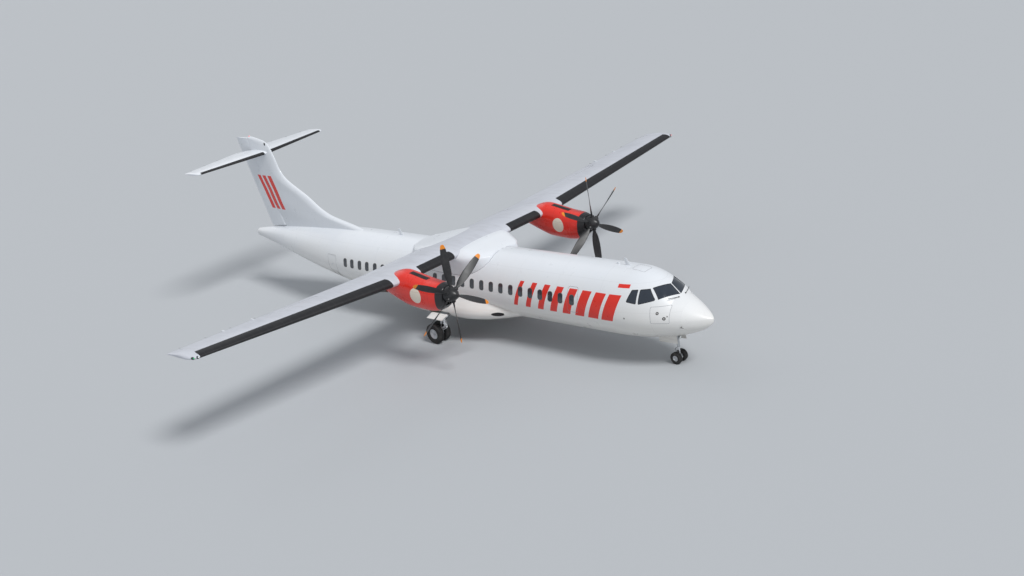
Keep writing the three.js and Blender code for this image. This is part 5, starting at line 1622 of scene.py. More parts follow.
TAILPLANE_Z = 4.747


def fin_half(z, s):
    edge, end, thick = between(FIN_ROWS, z)
    length = min(end - edge, FIN_SIDES)
    return max(FIN_EDGE, thick / 2 * min(1, (end - s) / length * FIN_TAPER))


def fin_ring(z):
    edge, end, thick = between(FIN_ROWS, z)
    lead, full = min(FIN_NOSE, (end - edge) * 0.4), FIN_FULLNESS * thick
    crown = sqrt(max(0.05, 1 - (max(0, z - FIN_TOP + FIN_CROWN) / FIN_CROWN) ** 2))
    nose = [(k / 10) ** 2 for k in range(11)]
    points = [(edge + lead * t, full * (1 - (1 - t) ** 1.6) ** 0.55) for t in nose]
    middle = (edge + lead + end) / 2
    sides = [(0, full), (0.5, min(thick / 2, fin_half(z, middle))), (1, FIN_EDGE)]
    for t in steps(0, 1, 10)[1:]:
        points.append((edge + lead + (end - edge - lead) * t, between(sides, t)[0]))
    port = [at(s, half * crown, z) for s, half in points]
    return port + [at(s, -half * crown, z) for s, half in points[:0:-1]]


def rudder_hinge(z):
    return RUDDER.base + (z - RUDDER.bottom) * RUDDER_LEAN


def hinge_arc(z, radius):
    angles = [pi / 2 - pi * k / NOSE_STEPS for k in range(NOSE_STEPS + 1)]
    stretch = hypot(1, RUDDER_LEAN)
    return [at(rudder_hinge(z) - radius * stretch * cos(a), radius * sin(a), z) for a in angles]


def rudder_ring(z):
    end = between(FIN_ROWS, z)[1]
    return [at(end, FIN_EDGE, z), *hinge_arc(z, fin_half(z, rudder_hinge(z))), at(end, -FIN_EDGE, z)]


def below_rudder(drop):
    """All that lies under the rudder's foot, which slopes down towards the tail."""
    corner, end = RUDDER.base, between(FIN_ROWS, RUDDER.tail)[1]
    fall = (RUDDER.bottom - RUDDER.tail) / (end - corner) * 0.9
    corners = [(corner - 0.9, RUDDER.bottom - drop), (corner, RUDDER.bottom - drop),
               (end + 0.9, RUDDER.tail - fall - drop), (end + 0.9, 0.1), (corner - 0.9, 0.1)]
    return skin("below", [[at(s, y, z) for s, z in corners] for y in (-1, 1)])


def rudder_room():
    rings = []
    for z in steps(RUDDER.tail - 0.06, RUDDER.top, 12) + [FIN_TOP + 0.1]:
        hinge = rudder_hinge(z)
        radius = fin_half(min(z, RUDDER.top), min(hinge, RUDDER.head)) + RUDDER_GAP
        port, starboard = ([at(TAIL_REACH, y, z), at(hinge, y, z)] for y in (0.9, -0.9))
        rings.append([*port, *hinge_arc(z, radius), *starboard[::-1]])
    return coat_with(cut(skin("rudder_room", rings), below_rudder(RUDDER_FLOOR_GAP)), DARK_METAL)


def fin():
    rows = [row[0] for row in FIN_ROWS]
    heights = sorted({*steps(rows[0], FIN_TOP, 44), *steps(rows[-2], FIN_TOP, 8), *rows})
    return cut(coat_with(skin("fin_skin", [fin_ring(z) for z in heights]), TAIL_WHITE), rudder_room())


def rudder():
    heights = sorted({*steps(RUDDER.tail - 0.06, RUDDER.top, 24), 3.6, 4.64, 5.125, 5.29})
    body = coat_with(skin("rudder_skin", [rudder_ring(z) for z in heights]), TAIL_WHITE)
    return cut(body, coat_with(below_rudder(0), TAIL_WHITE))


finish(fin(), None, ["fin", "fin_cap"], 40)
finish(rudder(), None, ["rudder"], 40, body="rudder_body")
print("fin row at mid height", between(FIN_ROWS, 3))

# %% [markdown]
# The tailplane is one piece across the fin, with a cove for each elevator. The elevators' inner
# ends are cut away in plan so that the rudder can swing.

# %% Tailplane and elevators
ELEVATOR = Sizes(hinge=0.63, inner=0.19, outer=3.33)
SWING_AT_HINGE = 0.15
SWING_SLOPE = 0.42
SWING_END = 27.6


def rudder_swing():
    hinge, near = rudder_hinge(TAILPLANE_Z), SWING_AT_HINGE
    far = near + (SWING_END - hinge) * SWING_SLOPE
    plan = [(hinge - near, near), (hinge, near), (SWING_END, far)]
    plan += [(s, -y) for s, y in plan[::-1]]
    rings = [[at(s, y, TAILPLANE_Z + z) for s, y in plan] for z in (-0.5, 0.5)]
    return coat_with(skin("swing", rings), PLAIN_WHITE)


def tailplane():
    half_span = TAILPLANE_ROWS[-1][0]
    spans = steps(0, TAILPLANE_ROWS[-2][0], 10) + steps(TAILPLANE_ROWS[-2][0], half_span, 6)[1:]
    spans = [-y for y in spans[:0:-1]] + spans
    rings = [[Vector((p.x, copysign(p.y, y), p.z)) for p in tip_ring(TAILPLANE, abs(y))] for y in spans]
    body = coat_with(skin("tailplane_skin", rings), PLAIN_WHITE)
    room = moving_room(TAILPLANE, ELEVATOR.hinge, 0, ELEVATOR.outer + MOVING_GAP)
    return cut(body, mirrored(room, "room"), room, rudder_room())


def elevator():
    hinge, inner, outer = ELEVATOR.hinge, ELEVATOR.inner, ELEVATOR.outer
    body = moving_surface("elevator_skin_left", TAILPLANE, hinge, inner, outer)
    return cut(coat_with(body, PLAIN_WHITE), rudder_swing())


finish(tailplane(), None, ["tailplane"], 30)
both_sides(elevator(), None, "elevator", body="elevator_{side}_body")
print("tailplane made")

# %% [markdown]
# A red beacon stands on top of the fin, and a small inlet sits at the front of its cap: a black
# ellipsoid, as painted shade of its opening. Thin wicks on the trailing edges lead static charge
# off into the air.

# %% Beacon, inlet and static wicks
BEACON = Sizes(s=25.98, radius=0.04, top=5.508, sunk=0.045)
FIN_INLET = Sizes(at=(24.8, -0.055, 5.14), sizes=(0.05, 0.024, 0.085))
WICK = Sizes(length=0.14, radius=0.004, inside=0.02, drop=0.01)
AILERON_WICKS = (9.6, 10.7, 11.8, 12.9)
ELEVATOR_WICKS = (1.6, 2.4, 3.2)


def dome(name, foot, radius, height, sides=24):
    """A round cap standing up from its foot."""
    rings = []
    for t in steps(0, 1, 8):
        r = radius * sqrt(max(0.0004, 1 - t * t))
        rings.append([foot + Vector((r * cos(a), r * sin(a), height * t)) for a in turns(sides)])
    return skin(name, rings)


def ball(name, middle, sizes, sides=20):
    """A closed ellipsoid."""
    rings = []
    for tilt in steps(0, pi, 12)[1:-1]:
        up, r = -cos(tilt), sin(tilt)
        rings.append([Vector(middle) + Vector((sizes[0] * r * cos(a), sizes[1] * r * sin(a), sizes[2] * up))
                      for a in turns(sides)])
    return skin(name, rings)


def wick(start):
    front, end = Vector((WICK.inside, 0, 0)), Vector((WICK.length, 0, WICK.drop))
    return rod("wick", start + front, start - end, WICK.radius, sides=8, bevel=0.001)


def wicks(surface, spans, name):
    return join(name, [wick(on_surface(surface, y, 1, 0)) for y in spans])


foot = at(BEACON.s, 0, FIN_TOP - BEACON.sunk)
beacon = dome("fin_beacon", foot, BEACON.radius, BEACON.top - FIN_TOP + BEACON.sunk)
finish(beacon, RED_LAMP, (), 60)
# Painted shade: the inlet's opening is a black ellipsoid on the fin.
inlet = ball("fin_inlet", at(*FIN_INLET.at), FIN_INLET.sizes)
finish(inlet, BLACK_PAINT, (), 60)
for name, surface, spans in (("aileron", WING, AILERON_WICKS), ("elevator", TAILPLANE, ELEVATOR_WICKS)):
    group = wicks(surface, spans, name + "_wicks_left")
    both_sides(group, BLACK_PAINT, body=name + "_{side}_body")
print("tail fittings made", len(made))

# %% [markdown]
# Each engine sits in a cowl lofted from a table of sections, deep at the front for the air scoop
# and tapering to a tail under the wing. The intake mouth is cut below the spinner and gets a rolled
# lip.

# %% Nacelles
SPINNER = Sizes(
    tip=8.478, base=8.98, radius=0.3, point=0.002, fullness=0.62, wall=0.008, steps=28, crowding=1.5,
)
NACELLE_ROWS = [  # station, top, bottom, half width
    (9.01, 1.52, 0.78, 0.345), (9.27, 1.605, 0.59, 0.435), (9.6, 1.64, 0.485, 0.5),
    (10.0, 1.68, 0.46, 0.53), (10.94, 1.85, 0.52, 0.535), (11.25, 1.895, 0.595, 0.53),
    (11.55, 1.865, 0.7, 0.515), (11.9, 1.77, 0.83, 0.48), (12.4, 1.69, 1.0, 0.405),
    (13.1, 1.59, 1.23, 0.25), (13.62, 1.48, 1.37, 0.09),
]
NACELLE_LIP = [(9.01, 0.93), (9.014, 0.965), (9.03, 0.99)]
NACELLE_SHARPNESS = 0.8
NACELLE_SIDES = 56
INTAKE = Sizes(s=(8.9, 9.335), half=0.25, z=(0.82, 0.95), radius=0.055)
LOUVRE = Sizes(s=(9.98, 10.92), angle=0.13, slats=18)
SLAT_EDGES = ((-0.012, 0.004), (0.012, 0.011))
EXHAUST = Sizes(s=(12.15, 12.78), y=0.33, z=1.12, radius=0.13, out=0.12, down=0.05)


def nacelle_point(s, angle, out=0.0, share=1.0):
    top, bottom, half = between(NACELLE_ROWS, s)
    middle, tall = (top + bottom) / 2, (top - bottom) / 2
    y = (half * share + out) * rounded(sin(angle), NACELLE_SHARPNESS)
    z = (tall * share + out) * rounded(cos(angle), NACELLE_SHARPNESS)
    return at(s, ENGINE_Y + y, middle + z)


def intake_outline(grow=0.0):
    half, (low, high) = INTAKE.half + grow, INTAKE.z
    return rounded_outline(rectangle((-half, half), (low - grow, high + grow)), INTAKE.radius + grow, 6)


def nacelle():
    places = sorted({*steps(9.05, 13.62, 60), *(row[0] for row in NACELLE_ROWS if row[0] > 9.1)})
    rings = [[nacelle_point(s, angle, 0, share) for angle in turns(NACELLE_SIDES)]
             for s, share in NACELLE_LIP + [(s, 1.0) for s in places]]
    body = coat_with(skin("nacelle_skin_left", rings), COWL_RED)
    mouth = skin("mouth", [[at(s, ENGINE_Y + y, z) for y, z in intake_outline()] for s in INTAKE.s])
    return cut(body, coat_with(mouth, DARK_METAL))


def tube_round(name, loop, radius, sides=10):
    """A closed ring of tube that follows a loop of points in a plane across the aircraft."""
    rings = []
    middle = middle_of(loop)
    for p in [*loop, loop[0]]:
        away = (p - middle).normalized()
        rings.append([p + (away * cos(a) + Vector((1, 0, 0)) * sin(a)) * radius for a in turns(sides)])
    return skin(name, rings, closed=False)


def louvre():
    """A dark strip on the top of the cowl, with slats across it."""
    s0, s1 = LOUVRE.s
    angles = steps(-LOUVRE.angle, LOUVRE.angle, 6)
    rows = [[nacelle_point(s, a, 0.004) for a in angles] for s in steps(s0, s1, 12)]
    base = sheet_of("louvre", rows, 0.006)
    slats = []
    for s in steps(s0 + 0.03, s1 - 0.03, LOUVRE.slats - 1):
        rows = [[nacelle_point(s + aft, a, out) for a in angles] for aft, out in SLAT_EDGES]
        slats.append(sheet_of("slat", rows, 0.003))
    return join("cowl_louvre_left", [base, *slats])


def exhaust():
    """A turned pipe with a thin wall, leaning out from the cowl's side."""
    (s0, s1), radius = EXHAUST.s, EXHAUST.radius
    outside = [(s0, radius * 0.9), (s1 - 0.05, radius), (s1, radius * 1.03)]
    inside = [(s1, radius * 0.93), (s1 - 0.3, radius * 0.86), (s1 - 0.3, 0.02)]
    rings = []
    for s, r in outside + inside:
        y = ENGINE_Y + EXHAUST.y + (s - s0) * EXHAUST.out
        z = EXHAUST.z - (s - s0) * EXHAUST.down
        rings.append([at(s, y + r * cos(a), z + r * sin(a)) for a in turns(32)])
    return skin("exhaust_pipe_left", rings)


both_sides(nacelle(), None, "nacelle", 40)
lip_loop = [at(9.012, ENGINE_Y + y, z) for y, z in intake_outline(0.006)]
both_sides(tube_round("intake_lip_left", lip_loop, 0.016), BLACK_PAINT, None, 60)
both_sides(louvre(), BLACK_PAINT)
both_sides(exhaust(), DARK_METAL, None, 45)
print("nacelles made")

# %% [markdown]
# Six blades stand on each hub. A blade is a loft of thin pointed ovals whose chord swells and whose
# pitch falls towards the tip. One is modelled upright, then copied round the shaft. The spinner is
# a turned cone with a rounded point.

# %% Propellers
BLADES = 6
PROPELLER_PLANE = 8.8
BLADE_ROWS = [  # radius, chord, pitch in degrees, thickness
    (0.15, 0.11, 62, 0.11), (0.33, 0.118, 60, 0.09), (0.56, 0.235, 54, 0.048), (0.9, 0.3, 46, 0.032),
    (1.35, 0.29, 38, 0.022), (1.7, 0.235, 34, 0.016), (1.9, 0.16, 32, 0.012), (1.965, 0.08, 32, 0.008),
]
BLADE_FOOT = Sizes(radius=0.15, length=0.4)
BLADE_TAPER = 0.45
CUFF = Sizes(radii=(0.2, 0.315), foot=0.098, head=0.09)
HUB = [(8.62, 0.02), (8.63, 0.15), (8.71, 0.205), (8.92, 0.205)]
BACK_PLATE = [(8.955, 0.02), (8.955, 0.28), (8.975, 0.291), (8.98, 0.289), (8.98, 0.02)]
SHAFT_STUB = [(8.97, 0.149), (9.06, 0.149)]
SHAFT = at(PROPELLER_PLANE, ENGINE_Y, SHAFT_Z)


def blade_ring(r):
    chord, pitch, thick = between(BLADE_ROWS, r)
    turn = radians(pitch)
    round_foot = max(0.0, 1 - (r - BLADE_FOOT.radius) / BLADE_FOOT.length)
    ring = []
    for angle in turns(24):
        along = chord / 2 * cos(angle)
        thin = 1 - (1 - round_foot) * BLADE_TAPER * (0.5 - 0.5 * cos(angle))
        across = thick / 2 * sin(angle) * thin
        aft = along * sin(turn) + across * cos(turn)
        ring.append(SHAFT + Vector((-aft, along * cos(turn) - across * sin(turn), r)))
    return ring


def blade_turned(piece, k):
    """Turns a piece about the shaft to the place of blade k."""
    return turned_about(piece, -radians(360 / BLADES * k), "X", SHAFT)


def turned_x(name, profile, y, z, sides=48):
    """A body turned about a line along the aircraft: the profile gives stations and radii."""
    return skin(name, [[at(s, y + r * sin(a), z + r * cos(a)) for a in turns(sides)] for s, r in profile])


def propeller():
    foot, shoulder, tip = (BLADE_ROWS[i][0] for i in (0, -2, -1))
    first = skin("blade", [blade_ring(r) for r in steps(foot, shoulder, 34) + steps(shoulder, tip, 5)[1:]])
    blades = [blade_turned(copied(first, "blade"), k) for k in range(BLADES)]
    bpy.data.objects.remove(first)
    middle = [turned_x("hub", profile, ENGINE_Y, SHAFT_Z) for profile in (HUB, BACK_PLATE, SHAFT_STUB)]
    return join("propeller_blades_left", blades + middle)


def spinner():
    tip, base, radius = SPINNER.tip, SPINNER.base, SPINNER.radius
    profile = []
    for part in steps(0, 1, SPINNER.steps):
        t = part ** SPINNER.crowding
        r = radius * (1 - (1 - t) ** 2) ** SPINNER.fullness
        profile.append((tip + t * (base - tip), max(SPINNER.point, r)))
    profile.append((base, radius - SPINNER.wall))
    body = turned_x("spinner_skin_left", profile, ENGINE_Y, SHAFT_Z)
    cuffs = []
    for k in range(BLADES):
        ends = [SHAFT + Vector((0, 0, r)) for r in CUFF.radii]
        cuffs.append(blade_turned(rod("cuff", *ends, CUFF.foot, CUFF.head, 28, 0.006), k))
    return join("spinner_skin_left", [body, *cuffs])


both_sides(propeller(), BLADE, "propeller", 40, body="propeller_{side}_body")
both_sides(spinner(), BLACK_PAINT, "spinner", 40, body="propeller_{side}_body")
print("propellers made", len(made))

# %% [markdown]
# The wheels are turned forms. A tyre's tread gets grooves. The two rims of a pair are one turned
# body with a dished face, a hub cap and a circle of bolts.

# %% Wheels
MAIN_GEAR = Sizes(
    s=12.55, y=2.05, spacing=0.38, radius=0.432, width=0.254, rim=0.215, axle=0.042,
    grooves=4,
)
NOSE_GEAR = Sizes(
    s=1.8, y=0.0, spacing=0.33, radius=0.225, width=0.19, rim=0.11, axle=0.026,
    grooves=3,
)
TYRE_SIDE = [  # place along the flank, share of the half width, share of the depth
    (0, 0.72, 0.0), (1, 0.86, 0.12), (2, 1.0, 0.5), (3, 0.93, 0.82), (4, 0.72, 0.96), (5, 0.42, 1.0),
]
GROOVE = Sizes(half=0.005, depth=0.008, spread=0.36, floor=0.6)
RIM_SPREAD = 0.36
DISH = 0.62
BOLTS = Sizes(count=10, circle=0.72, from_edge=(0.055, 0.034), sides=6)
WALL_SEAM = 0.0003


def turned_y(name, profile, s, z, sides=64, loop=False):
    """A body turned about a line across the aircraft: the profile gives places across and radii."""
    rings = [[at(s + r * sin(a), y, z - r * cos(a)) for a in turns(sides)] for y, r in profile]
    return skin(name, rings + rings[:1], closed=False) if loop else skin(name, rings)


def axle_height(gear):
    return gear.radius - WIDEST


def tyre(name, gear, y):
    half, radius, rim = gear.width / 2, gear.radius, gear.rim
    side = [between(TYRE_SIDE, k) for k in steps(0, 5, 15)]
    flank = [(half * across, rim + (radius - rim) * min(1, out)) for across, out in side]
    wide, low = GROOVE.half, radius - GROOVE.depth
    narrow = wide * GROOVE.floor
    tread = []
    for g in range(gear.grooves):
        middle = half * GROOVE.spread * (1 - 2 * g / (gear.grooves - 1))
        groove = [(wide, radius), (narrow, low), (-narrow, low), (-wide, radius)]
        tread += [(middle + a, r) for a, r in groove]
    profile = flank + tread + [(-a, r) for a, r in flank[::-1]]
    return turned_y(name, [(y + a, r) for a, r in profile], gear.s, axle_height(gear), 72, True)


def rims(name, gear, y):
    inner, outer = (gear.spacing / 2 + side * gear.width * RIM_SPREAD for side in (-1, 1))
    rim, z = gear.rim - WALL_SEAM, axle_height(gear)
    dish = rim * DISH
    hub = [(-0.012, 0.003), (-0.012, dish * 0.3), (-0.02, dish * 0.38), (-0.042, dish * 0.42)]
    face = [(-0.045, dish * 0.98), (-0.026, dish * 1.08), (-0.018, rim * 0.84), (-0.002, rim * 0.9)]
    half = [(outer + a, r) for a, r in hub + face + [(0, rim * 0.97), (-0.004, rim)]]
    back = [(0, rim), (0.012, rim * 0.88), (0.02, rim * 0.5), (-0.022, gear.axle)]
    half += [(inner + a, r) for a, r in back]
    body = turned_y("rim", [(y + a, r) for a, r in half] + [(y - a, r) for a, r in half[::-1]], gear.s, z)
    circle, thick = dish * BOLTS.circle, 0.0075 * rim / 0.2 + 0.002
    bolts = []
    for side in (1, -1):
        for a in turns(BOLTS.count):
            ends = [at(gear.s + circle * sin(a), y + side * (outer - away), z + circle * cos(a))
                    for away in BOLTS.from_edge]
            bolts.append(rod("bolt", *ends, thick, sides=BOLTS.sides, bevel=0.0012))
    return join(name, [body, *bolts])


def add_tyre(name, gear, y, body):
    finish(tyre(name + "_skin", gear, y), TYRE, [name], 40, body=body)


for side, name in ((1, "left"), (-1, "right")):
    body, y = f"main_wheels_{name}", side * MAIN_GEAR.y
    for place, far in (("inner", -0.5), ("outer", 0.5)):
        tyre_y = side * (MAIN_GEAR.y + far * MAIN_GEAR.spacing)
        add_tyre(f"main_tyre_{place}_{name}", MAIN_GEAR, tyre_y, body)
    add_tyre(f"nose_tyre_{name}", NOSE_GEAR, side * NOSE_GEAR.spacing / 2, "nose_wheels")
    pair_of_rims = rims(f"main_rims_{name}", MAIN_GEAR, y)
    finish(pair_of_rims, BRIGHT_METAL, [f"main_axle_{name}"], body=body)
finish(rims("nose_rims", NOSE_GEAR, 0.0), BRIGHT_METAL, ["nose_axle"], body="nose_wheels")
print("wheels made", len(made))

# %% [markdown]
# Each main leg is a beam out of the blister and a strut down in front of the wheels. A trailing arm
# carries the axle, and a shock strut with a chrome rod ties it to the beam. Brake hoses run down
# the leg.

# %% Main gear
ARM_PIVOT = (12.01, axle_height(MAIN_GEAR) + 0.3)
BEAM = Sizes(s=12.08, y=0.701, root=-0.96, tip=-1.03, radii=(0.085, 0.075))
STRUT = Sizes(radii=(0.072, 0.066), collars=(-1.13, -1.24), collar=0.077, slot=0.0423)
SHOCK_FOOT = (12.33, -0.078)
SHOCK_HEAD = (12.19, -0.068)
SHOCK_PARTS = [  # name, start and end along the strut, radius, bevel, finish
    ("piston", 0, 1, 0.034, 0, CHROME), ("cylinder", 0.45, 1, 0.046, 0.004, GEAR_PAINT),
    ("gland", 0.43, 0.5, 0.05, 0.003, DARK_METAL),
]
GEAR_DOOR = Sizes(s=(11.88, 12.8), corners=[(-0.09, 0.11), (0.26, -0.01), (0.27, 0.012), (-0.082, 0.134)])
HOSE_PATH = [  # aft of the beam, y, height: the hoses lie side by side from the third place on
    (-0.1, 1.2, -0.93), (-0.115, 1.7, -1.0), (-0.13, 2.05, -1.08), (-0.13, 2.05, -1.25),
    (-0.1, 2.125, -1.42), (0.1, 2.135, -1.5), (0.34, 2.125, -1.62),
]
HOSE = Sizes(radius=0.008, apart=0.02, steps=36)
ROUND_SIDES = 40


def tube(name, points, radius, sides=10):
    """A round tube through a list of points."""
    rings = []
    for i, point in enumerate(points):
        along = (points[min(i + 1, len(points) - 1)] - points[max(i - 1, 0)]).normalized()
        turn = along.to_track_quat("Z", "Y")
        rings.append([point + turn @ Vector((radius * cos(a), radius * sin(a), 0)) for a in turns(sides)])
    return skin(name, rings)


def main_leg():
    s, y, tip, (pivot, high) = BEAM.s, MAIN_GEAR.y, BEAM.tip, ARM_PIVOT
    root, end = at(s, BEAM.y, BEAM.root), at(s, y + 0.03, tip)
    beam = rod("beam", root, end, *BEAM.radii, ROUND_SIDES, 0.01)
    foot = at(pivot - 0.01, y, high - 0.01)
    strut = rod("strut", at(s - 0.04, y, tip), foot, *STRUT.radii, ROUND_SIDES, 0.01)
    across = (y - STRUT.slot, y + STRUT.slot)
    cut(strut, station_box("slot", (pivot - 0.2, pivot + 0.3), across, (high - 0.3, high + 0.075)))
    pin = rod("pin", at(pivot, y - 0.07, high), at(pivot, y + 0.07, high), 0.022, None, 24, 0.003)
    collars = []
    for z in STRUT.collars:
        ends = at(s - 0.037, y, z), at(s - 0.039, y, z - 0.03)
        collars.append(rod("collar", *ends, STRUT.collar, None, ROUND_SIDES, 0.004))
    return join("main_leg_left", [beam, strut, pin, *collars])


def main_arm():
    (pivot, high), s, low, y = ARM_PIVOT, MAIN_GEAR.s, axle_height(MAIN_GEAR), MAIN_GEAR.y
    corners = [
        (pivot - 0.055, high - 0.02), (pivot - 0.02, high - 0.06), (s + 0.02, low - 0.07),
        (s + 0.07, low - 0.02), (s + 0.06, low + 0.05), (s - 0.04, low + 0.09), (pivot + 0.04, high + 0.06),
        (pivot - 0.03, high + 0.055),
    ]
    arm = skin("main_arm_left", [[at(a, y + side * 0.042, z) for a, z in corners] for side in (-1, 1)])
    return apply(arm, "BEVEL", width=0.01, segments=3, limit_method="ANGLE")


def main_shock():
    y = MAIN_GEAR.y
    foot = at(SHOCK_FOOT[0], y, ARM_PIVOT[1] + SHOCK_FOOT[1])
    head = at(SHOCK_HEAD[0], y, BEAM.tip + SHOCK_HEAD[1])
    parts = []
    for name, start, end, radius, bevel, material in SHOCK_PARTS:
        part = rod(name, foot.lerp(head, start), foot.lerp(head, end), radius, None, 32, bevel)
        parts.append(coat_with(part, material))
    return join("main_shock_left", parts)


def main_door():
    y, tip = MAIN_GEAR.y, BEAM.tip
    plate = skin("door", [[at(s, y + a, tip + z) for a, z in GEAR_DOOR.corners] for s in GEAR_DOOR.s])
    apply(plate, "BEVEL", width=0.004, segments=BEVEL_STEPS)
    bracket = station_box("bracket", (12.04, 12.12), (y - 0.04, y + 0.02), (tip + 0.06, tip + 0.11), 0.006)
    return join("main_door_left", [plate, bracket])


def hoses():
    lines = []
    for shift in (-HOSE.apart, HOSE.apart):
        apart = [0, 0, shift, shift, shift, shift, 0]
        path = [(i, *at(BEAM.s + s, y + apart[i], z)) for i, (s, y, z) in enumerate(HOSE_PATH)]
        places = steps(0, len(path) - 1, HOSE.steps)
        points = [Vector(between(path, k)) for k in places]
        lines.append(tube("hose", points, HOSE.radius))
    return join("brake_hoses_left", lines)


both_sides(main_leg(), GEAR_PAINT, "main_gear_leg", 40)
both_sides(main_arm(), GEAR_PAINT, "main_gear_arm", 40)
both_sides(main_shock(), None, "main_gear_shock", 40)
both_sides(main_door(), PLAIN_WHITE, "main_gear_door", 40)
both_sides(hoses(), BLACK_PAINT, None, 60)
print("main gear made")

# %% [markdown]
# The nose leg is a tube with a drag brace. Inside it a chrome stem turns to steer and carries the
# axle, and torque links join the collar to the knuckle. Two doors hang beside it and a lamp stands
# in front.

# %% Nose gear
LEG_S = 1.76
COLLAR_Z = axle_height(NOSE_GEAR) + 0.43
NOSE_DOORS = Sizes(s=(1.56, 2.38), y=(0.2477, 0.2697), z=(-1.29, -0.9))
NOSE_LEG = Sizes(radius=0.062, bands=(-0.8, -1.02, -1.2), band=0.067, stem=0.042, collar=0.058)
NOSE_LINKS = Sizes(start=0.05, knee=0.17, drop=0.16, aside=0.03, radii=(0.011, 0.008), bolt=0.009)
LAMP_Z = -1.12
LAMP_SHELL = [(1.6, 0.055), (1.605, 0.062), (1.65, 0.06), (1.69, 0.03), (1.7, 0.005)]
LAMP_LENS = [(1.598, 0.002), (1.599, 0.03), (1.604, 0.054), (1.62, 0.054)]


def upright(name, top, bottom, radius, bevel, sides=ROUND_SIDES):
    """A round bar on the nose leg's line between two heights."""
    return rod(name, at(LEG_S, 0, top), at(LEG_S, 0, bottom), radius, None, sides, bevel)


def nose_leg():
    top = NOSE_BAY.top
    leg = upright("leg", top, COLLAR_Z, NOSE_LEG.radius, 0.006)
    brace = rod("brace", at(LEG_S, 0, COLLAR_Z + 0.29), at(2.33, 0, top - 0.06), 0.03, None, 24, 0.004)
    pad = station_box("pad", (2.29, 2.37), (-0.04, 0.04), (top - 0.09, top), 0.008)
    bands = [upright("band", z, z - 0.025, NOSE_LEG.band, 0.004) for z in NOSE_LEG.bands]
    return join("nose_leg", [leg, brace, pad, *bands])


def nose_fork():
    z = axle_height(NOSE_GEAR)
    stem = coat_with(upright("stem", COLLAR_Z + 0.119, z + 0.02, NOSE_LEG.stem, 0, 32), CHROME)
    knuckle = station_box("knuckle", (LEG_S - 0.045, 1.85), (-0.048, 0.048), (z - 0.05, z + 0.07), 0.014)
    lug = station_box("lug", (LEG_S - 0.11, LEG_S - 0.044), (-0.02, 0.02), (z - 0.02, z + 0.04), 0.008)
    collar = upright("collar", COLLAR_Z - 0.004, COLLAR_Z - 0.05, NOSE_LEG.collar, 0.006)
    knee = at(LEG_S + NOSE_LINKS.knee, 0, COLLAR_Z - NOSE_LINKS.drop)
    aside = Vector((0, NOSE_LINKS.aside, 0))
    links = []
    for end in (COLLAR_Z - 0.03, z + 0.06):
        for side in (-1, 1):
            ends = at(LEG_S + NOSE_LINKS.start, 0, end) + aside * side, knee + aside * (side * 0.5)
            links.append(rod("link", *ends, *NOSE_LINKS.radii, 16, 0.002))
    bolt = coat_with(rod("bolt", knee - aside, knee + aside, NOSE_LINKS.bolt, None, 16), DARK_METAL)
    painted_parts = [coat_with(piece, GEAR_PAINT) for piece in (knuckle, lug, collar, *links)]
    return join("nose_fork_and_links", [stem, bolt, *painted_parts])


def landing_lamp():
    shell = coat_with(turned_x("lamp", LAMP_SHELL, 0, LAMP_Z, 32), GEAR_PAINT)
    return join("landing_lamp", [shell, coat_with(turned_x("lens", LAMP_LENS, 0, LAMP_Z, 32), CLEAR_LAMP)])


finish(nose_leg(), GEAR_PAINT, ["nose_gear_leg"], 40)
finish(nose_fork(), None, ["nose_gear_fork"], 40, body="nose_steering")
finish(landing_lamp(), None, (), 40)
door = station_box("nose_door_left", NOSE_DOORS.s, NOSE_DOORS.y, NOSE_DOORS.z, 0.006)
for piece, name in zip(both_sides(door, PLAIN_WHITE, None), ("left", "right")):
    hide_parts(f"nose_gear_door_{name}")
print("nose gear made", len(made))

# %% [markdown]
# The exits, the hatch and the ports are thin dark lines: bands between two loops that lie on the
# skin.

# %% Outlines on the skin
def dense(outline, step=0.06):
    """Adds points along a closed outline so that a line laid on the skin follows its curve."""
    points = []
    for a, b in zip(outline, [*outline[1:], outline[0]]):
        count = max(1, ceil((b - a).length / step))
        points += [a.lerp(b, k / count) for k in range(count)]
    return points


def framed(name, corners, radius, width, place):
    """A line of a given width round a rounded outline: place turns a pair into a point on the skin."""
    middle = middle_of(corners)
    outline = dense(rounded_outline(corners, radius, 5))
    loops = [[p + (p - middle).normalized() * far for p in outline] for far in (width / 2, -width / 2)]
    return strip(name, *[[place(*p) for p in loop] for loop in loops])


def on_roof(s, y):
    return section_point(s, asin(y / fuselage_shape(s)[0]), -LINE_PROUD)


def on_side(side):
    return lambda s, z: on_skin(s, z, side, LINE_PROUD)


OUTLINE_WIDTH = 0.01
OUTLINES = [  # stations, heights, corner radius
    ((5.075, 5.585), (-0.09, 0.82), 0.1),
    ((1.27, 1.92), (-0.19, 0.4), 0.05),
    ((14.2, 14.9), (-0.62, -0.22), 0.04),
]
ROOF_HATCH = ((2.62, 3.2), (-0.24, 0.24))
PORTS = [  # station, height, radius
    (1.67, 0.18, 0.035), (1.44, -0.01, 0.04), (2.93, -0.04, 0.02), (1.34, 0.06, 0.015),
]
lines = [framed("line", rectangle(s, z), radius, OUTLINE_WIDTH, on_side(side))
         for s, z, radius in OUTLINES for side in (1, -1)]
service = rectangle(SERVICE_DOOR.s, SERVICE_DOOR.z)
lines.append(framed("line", service, 0.06, OUTLINE_WIDTH, on_side(-1)))
lines.append(framed("line", rectangle(*ROOF_HATCH), 0.08, OUTLINE_WIDTH, on_roof))
finish(join("panel_outlines", lines), SEAM_LINE)
ports = [framed("port", rectangle((s - r, s + r), (z - r, z + r)), r * 0.97, r, on_side(side))
         for side in (1, -1) for s, z, r in PORTS]
finish(join("static_ports", ports), DARK_METAL, (), 60)
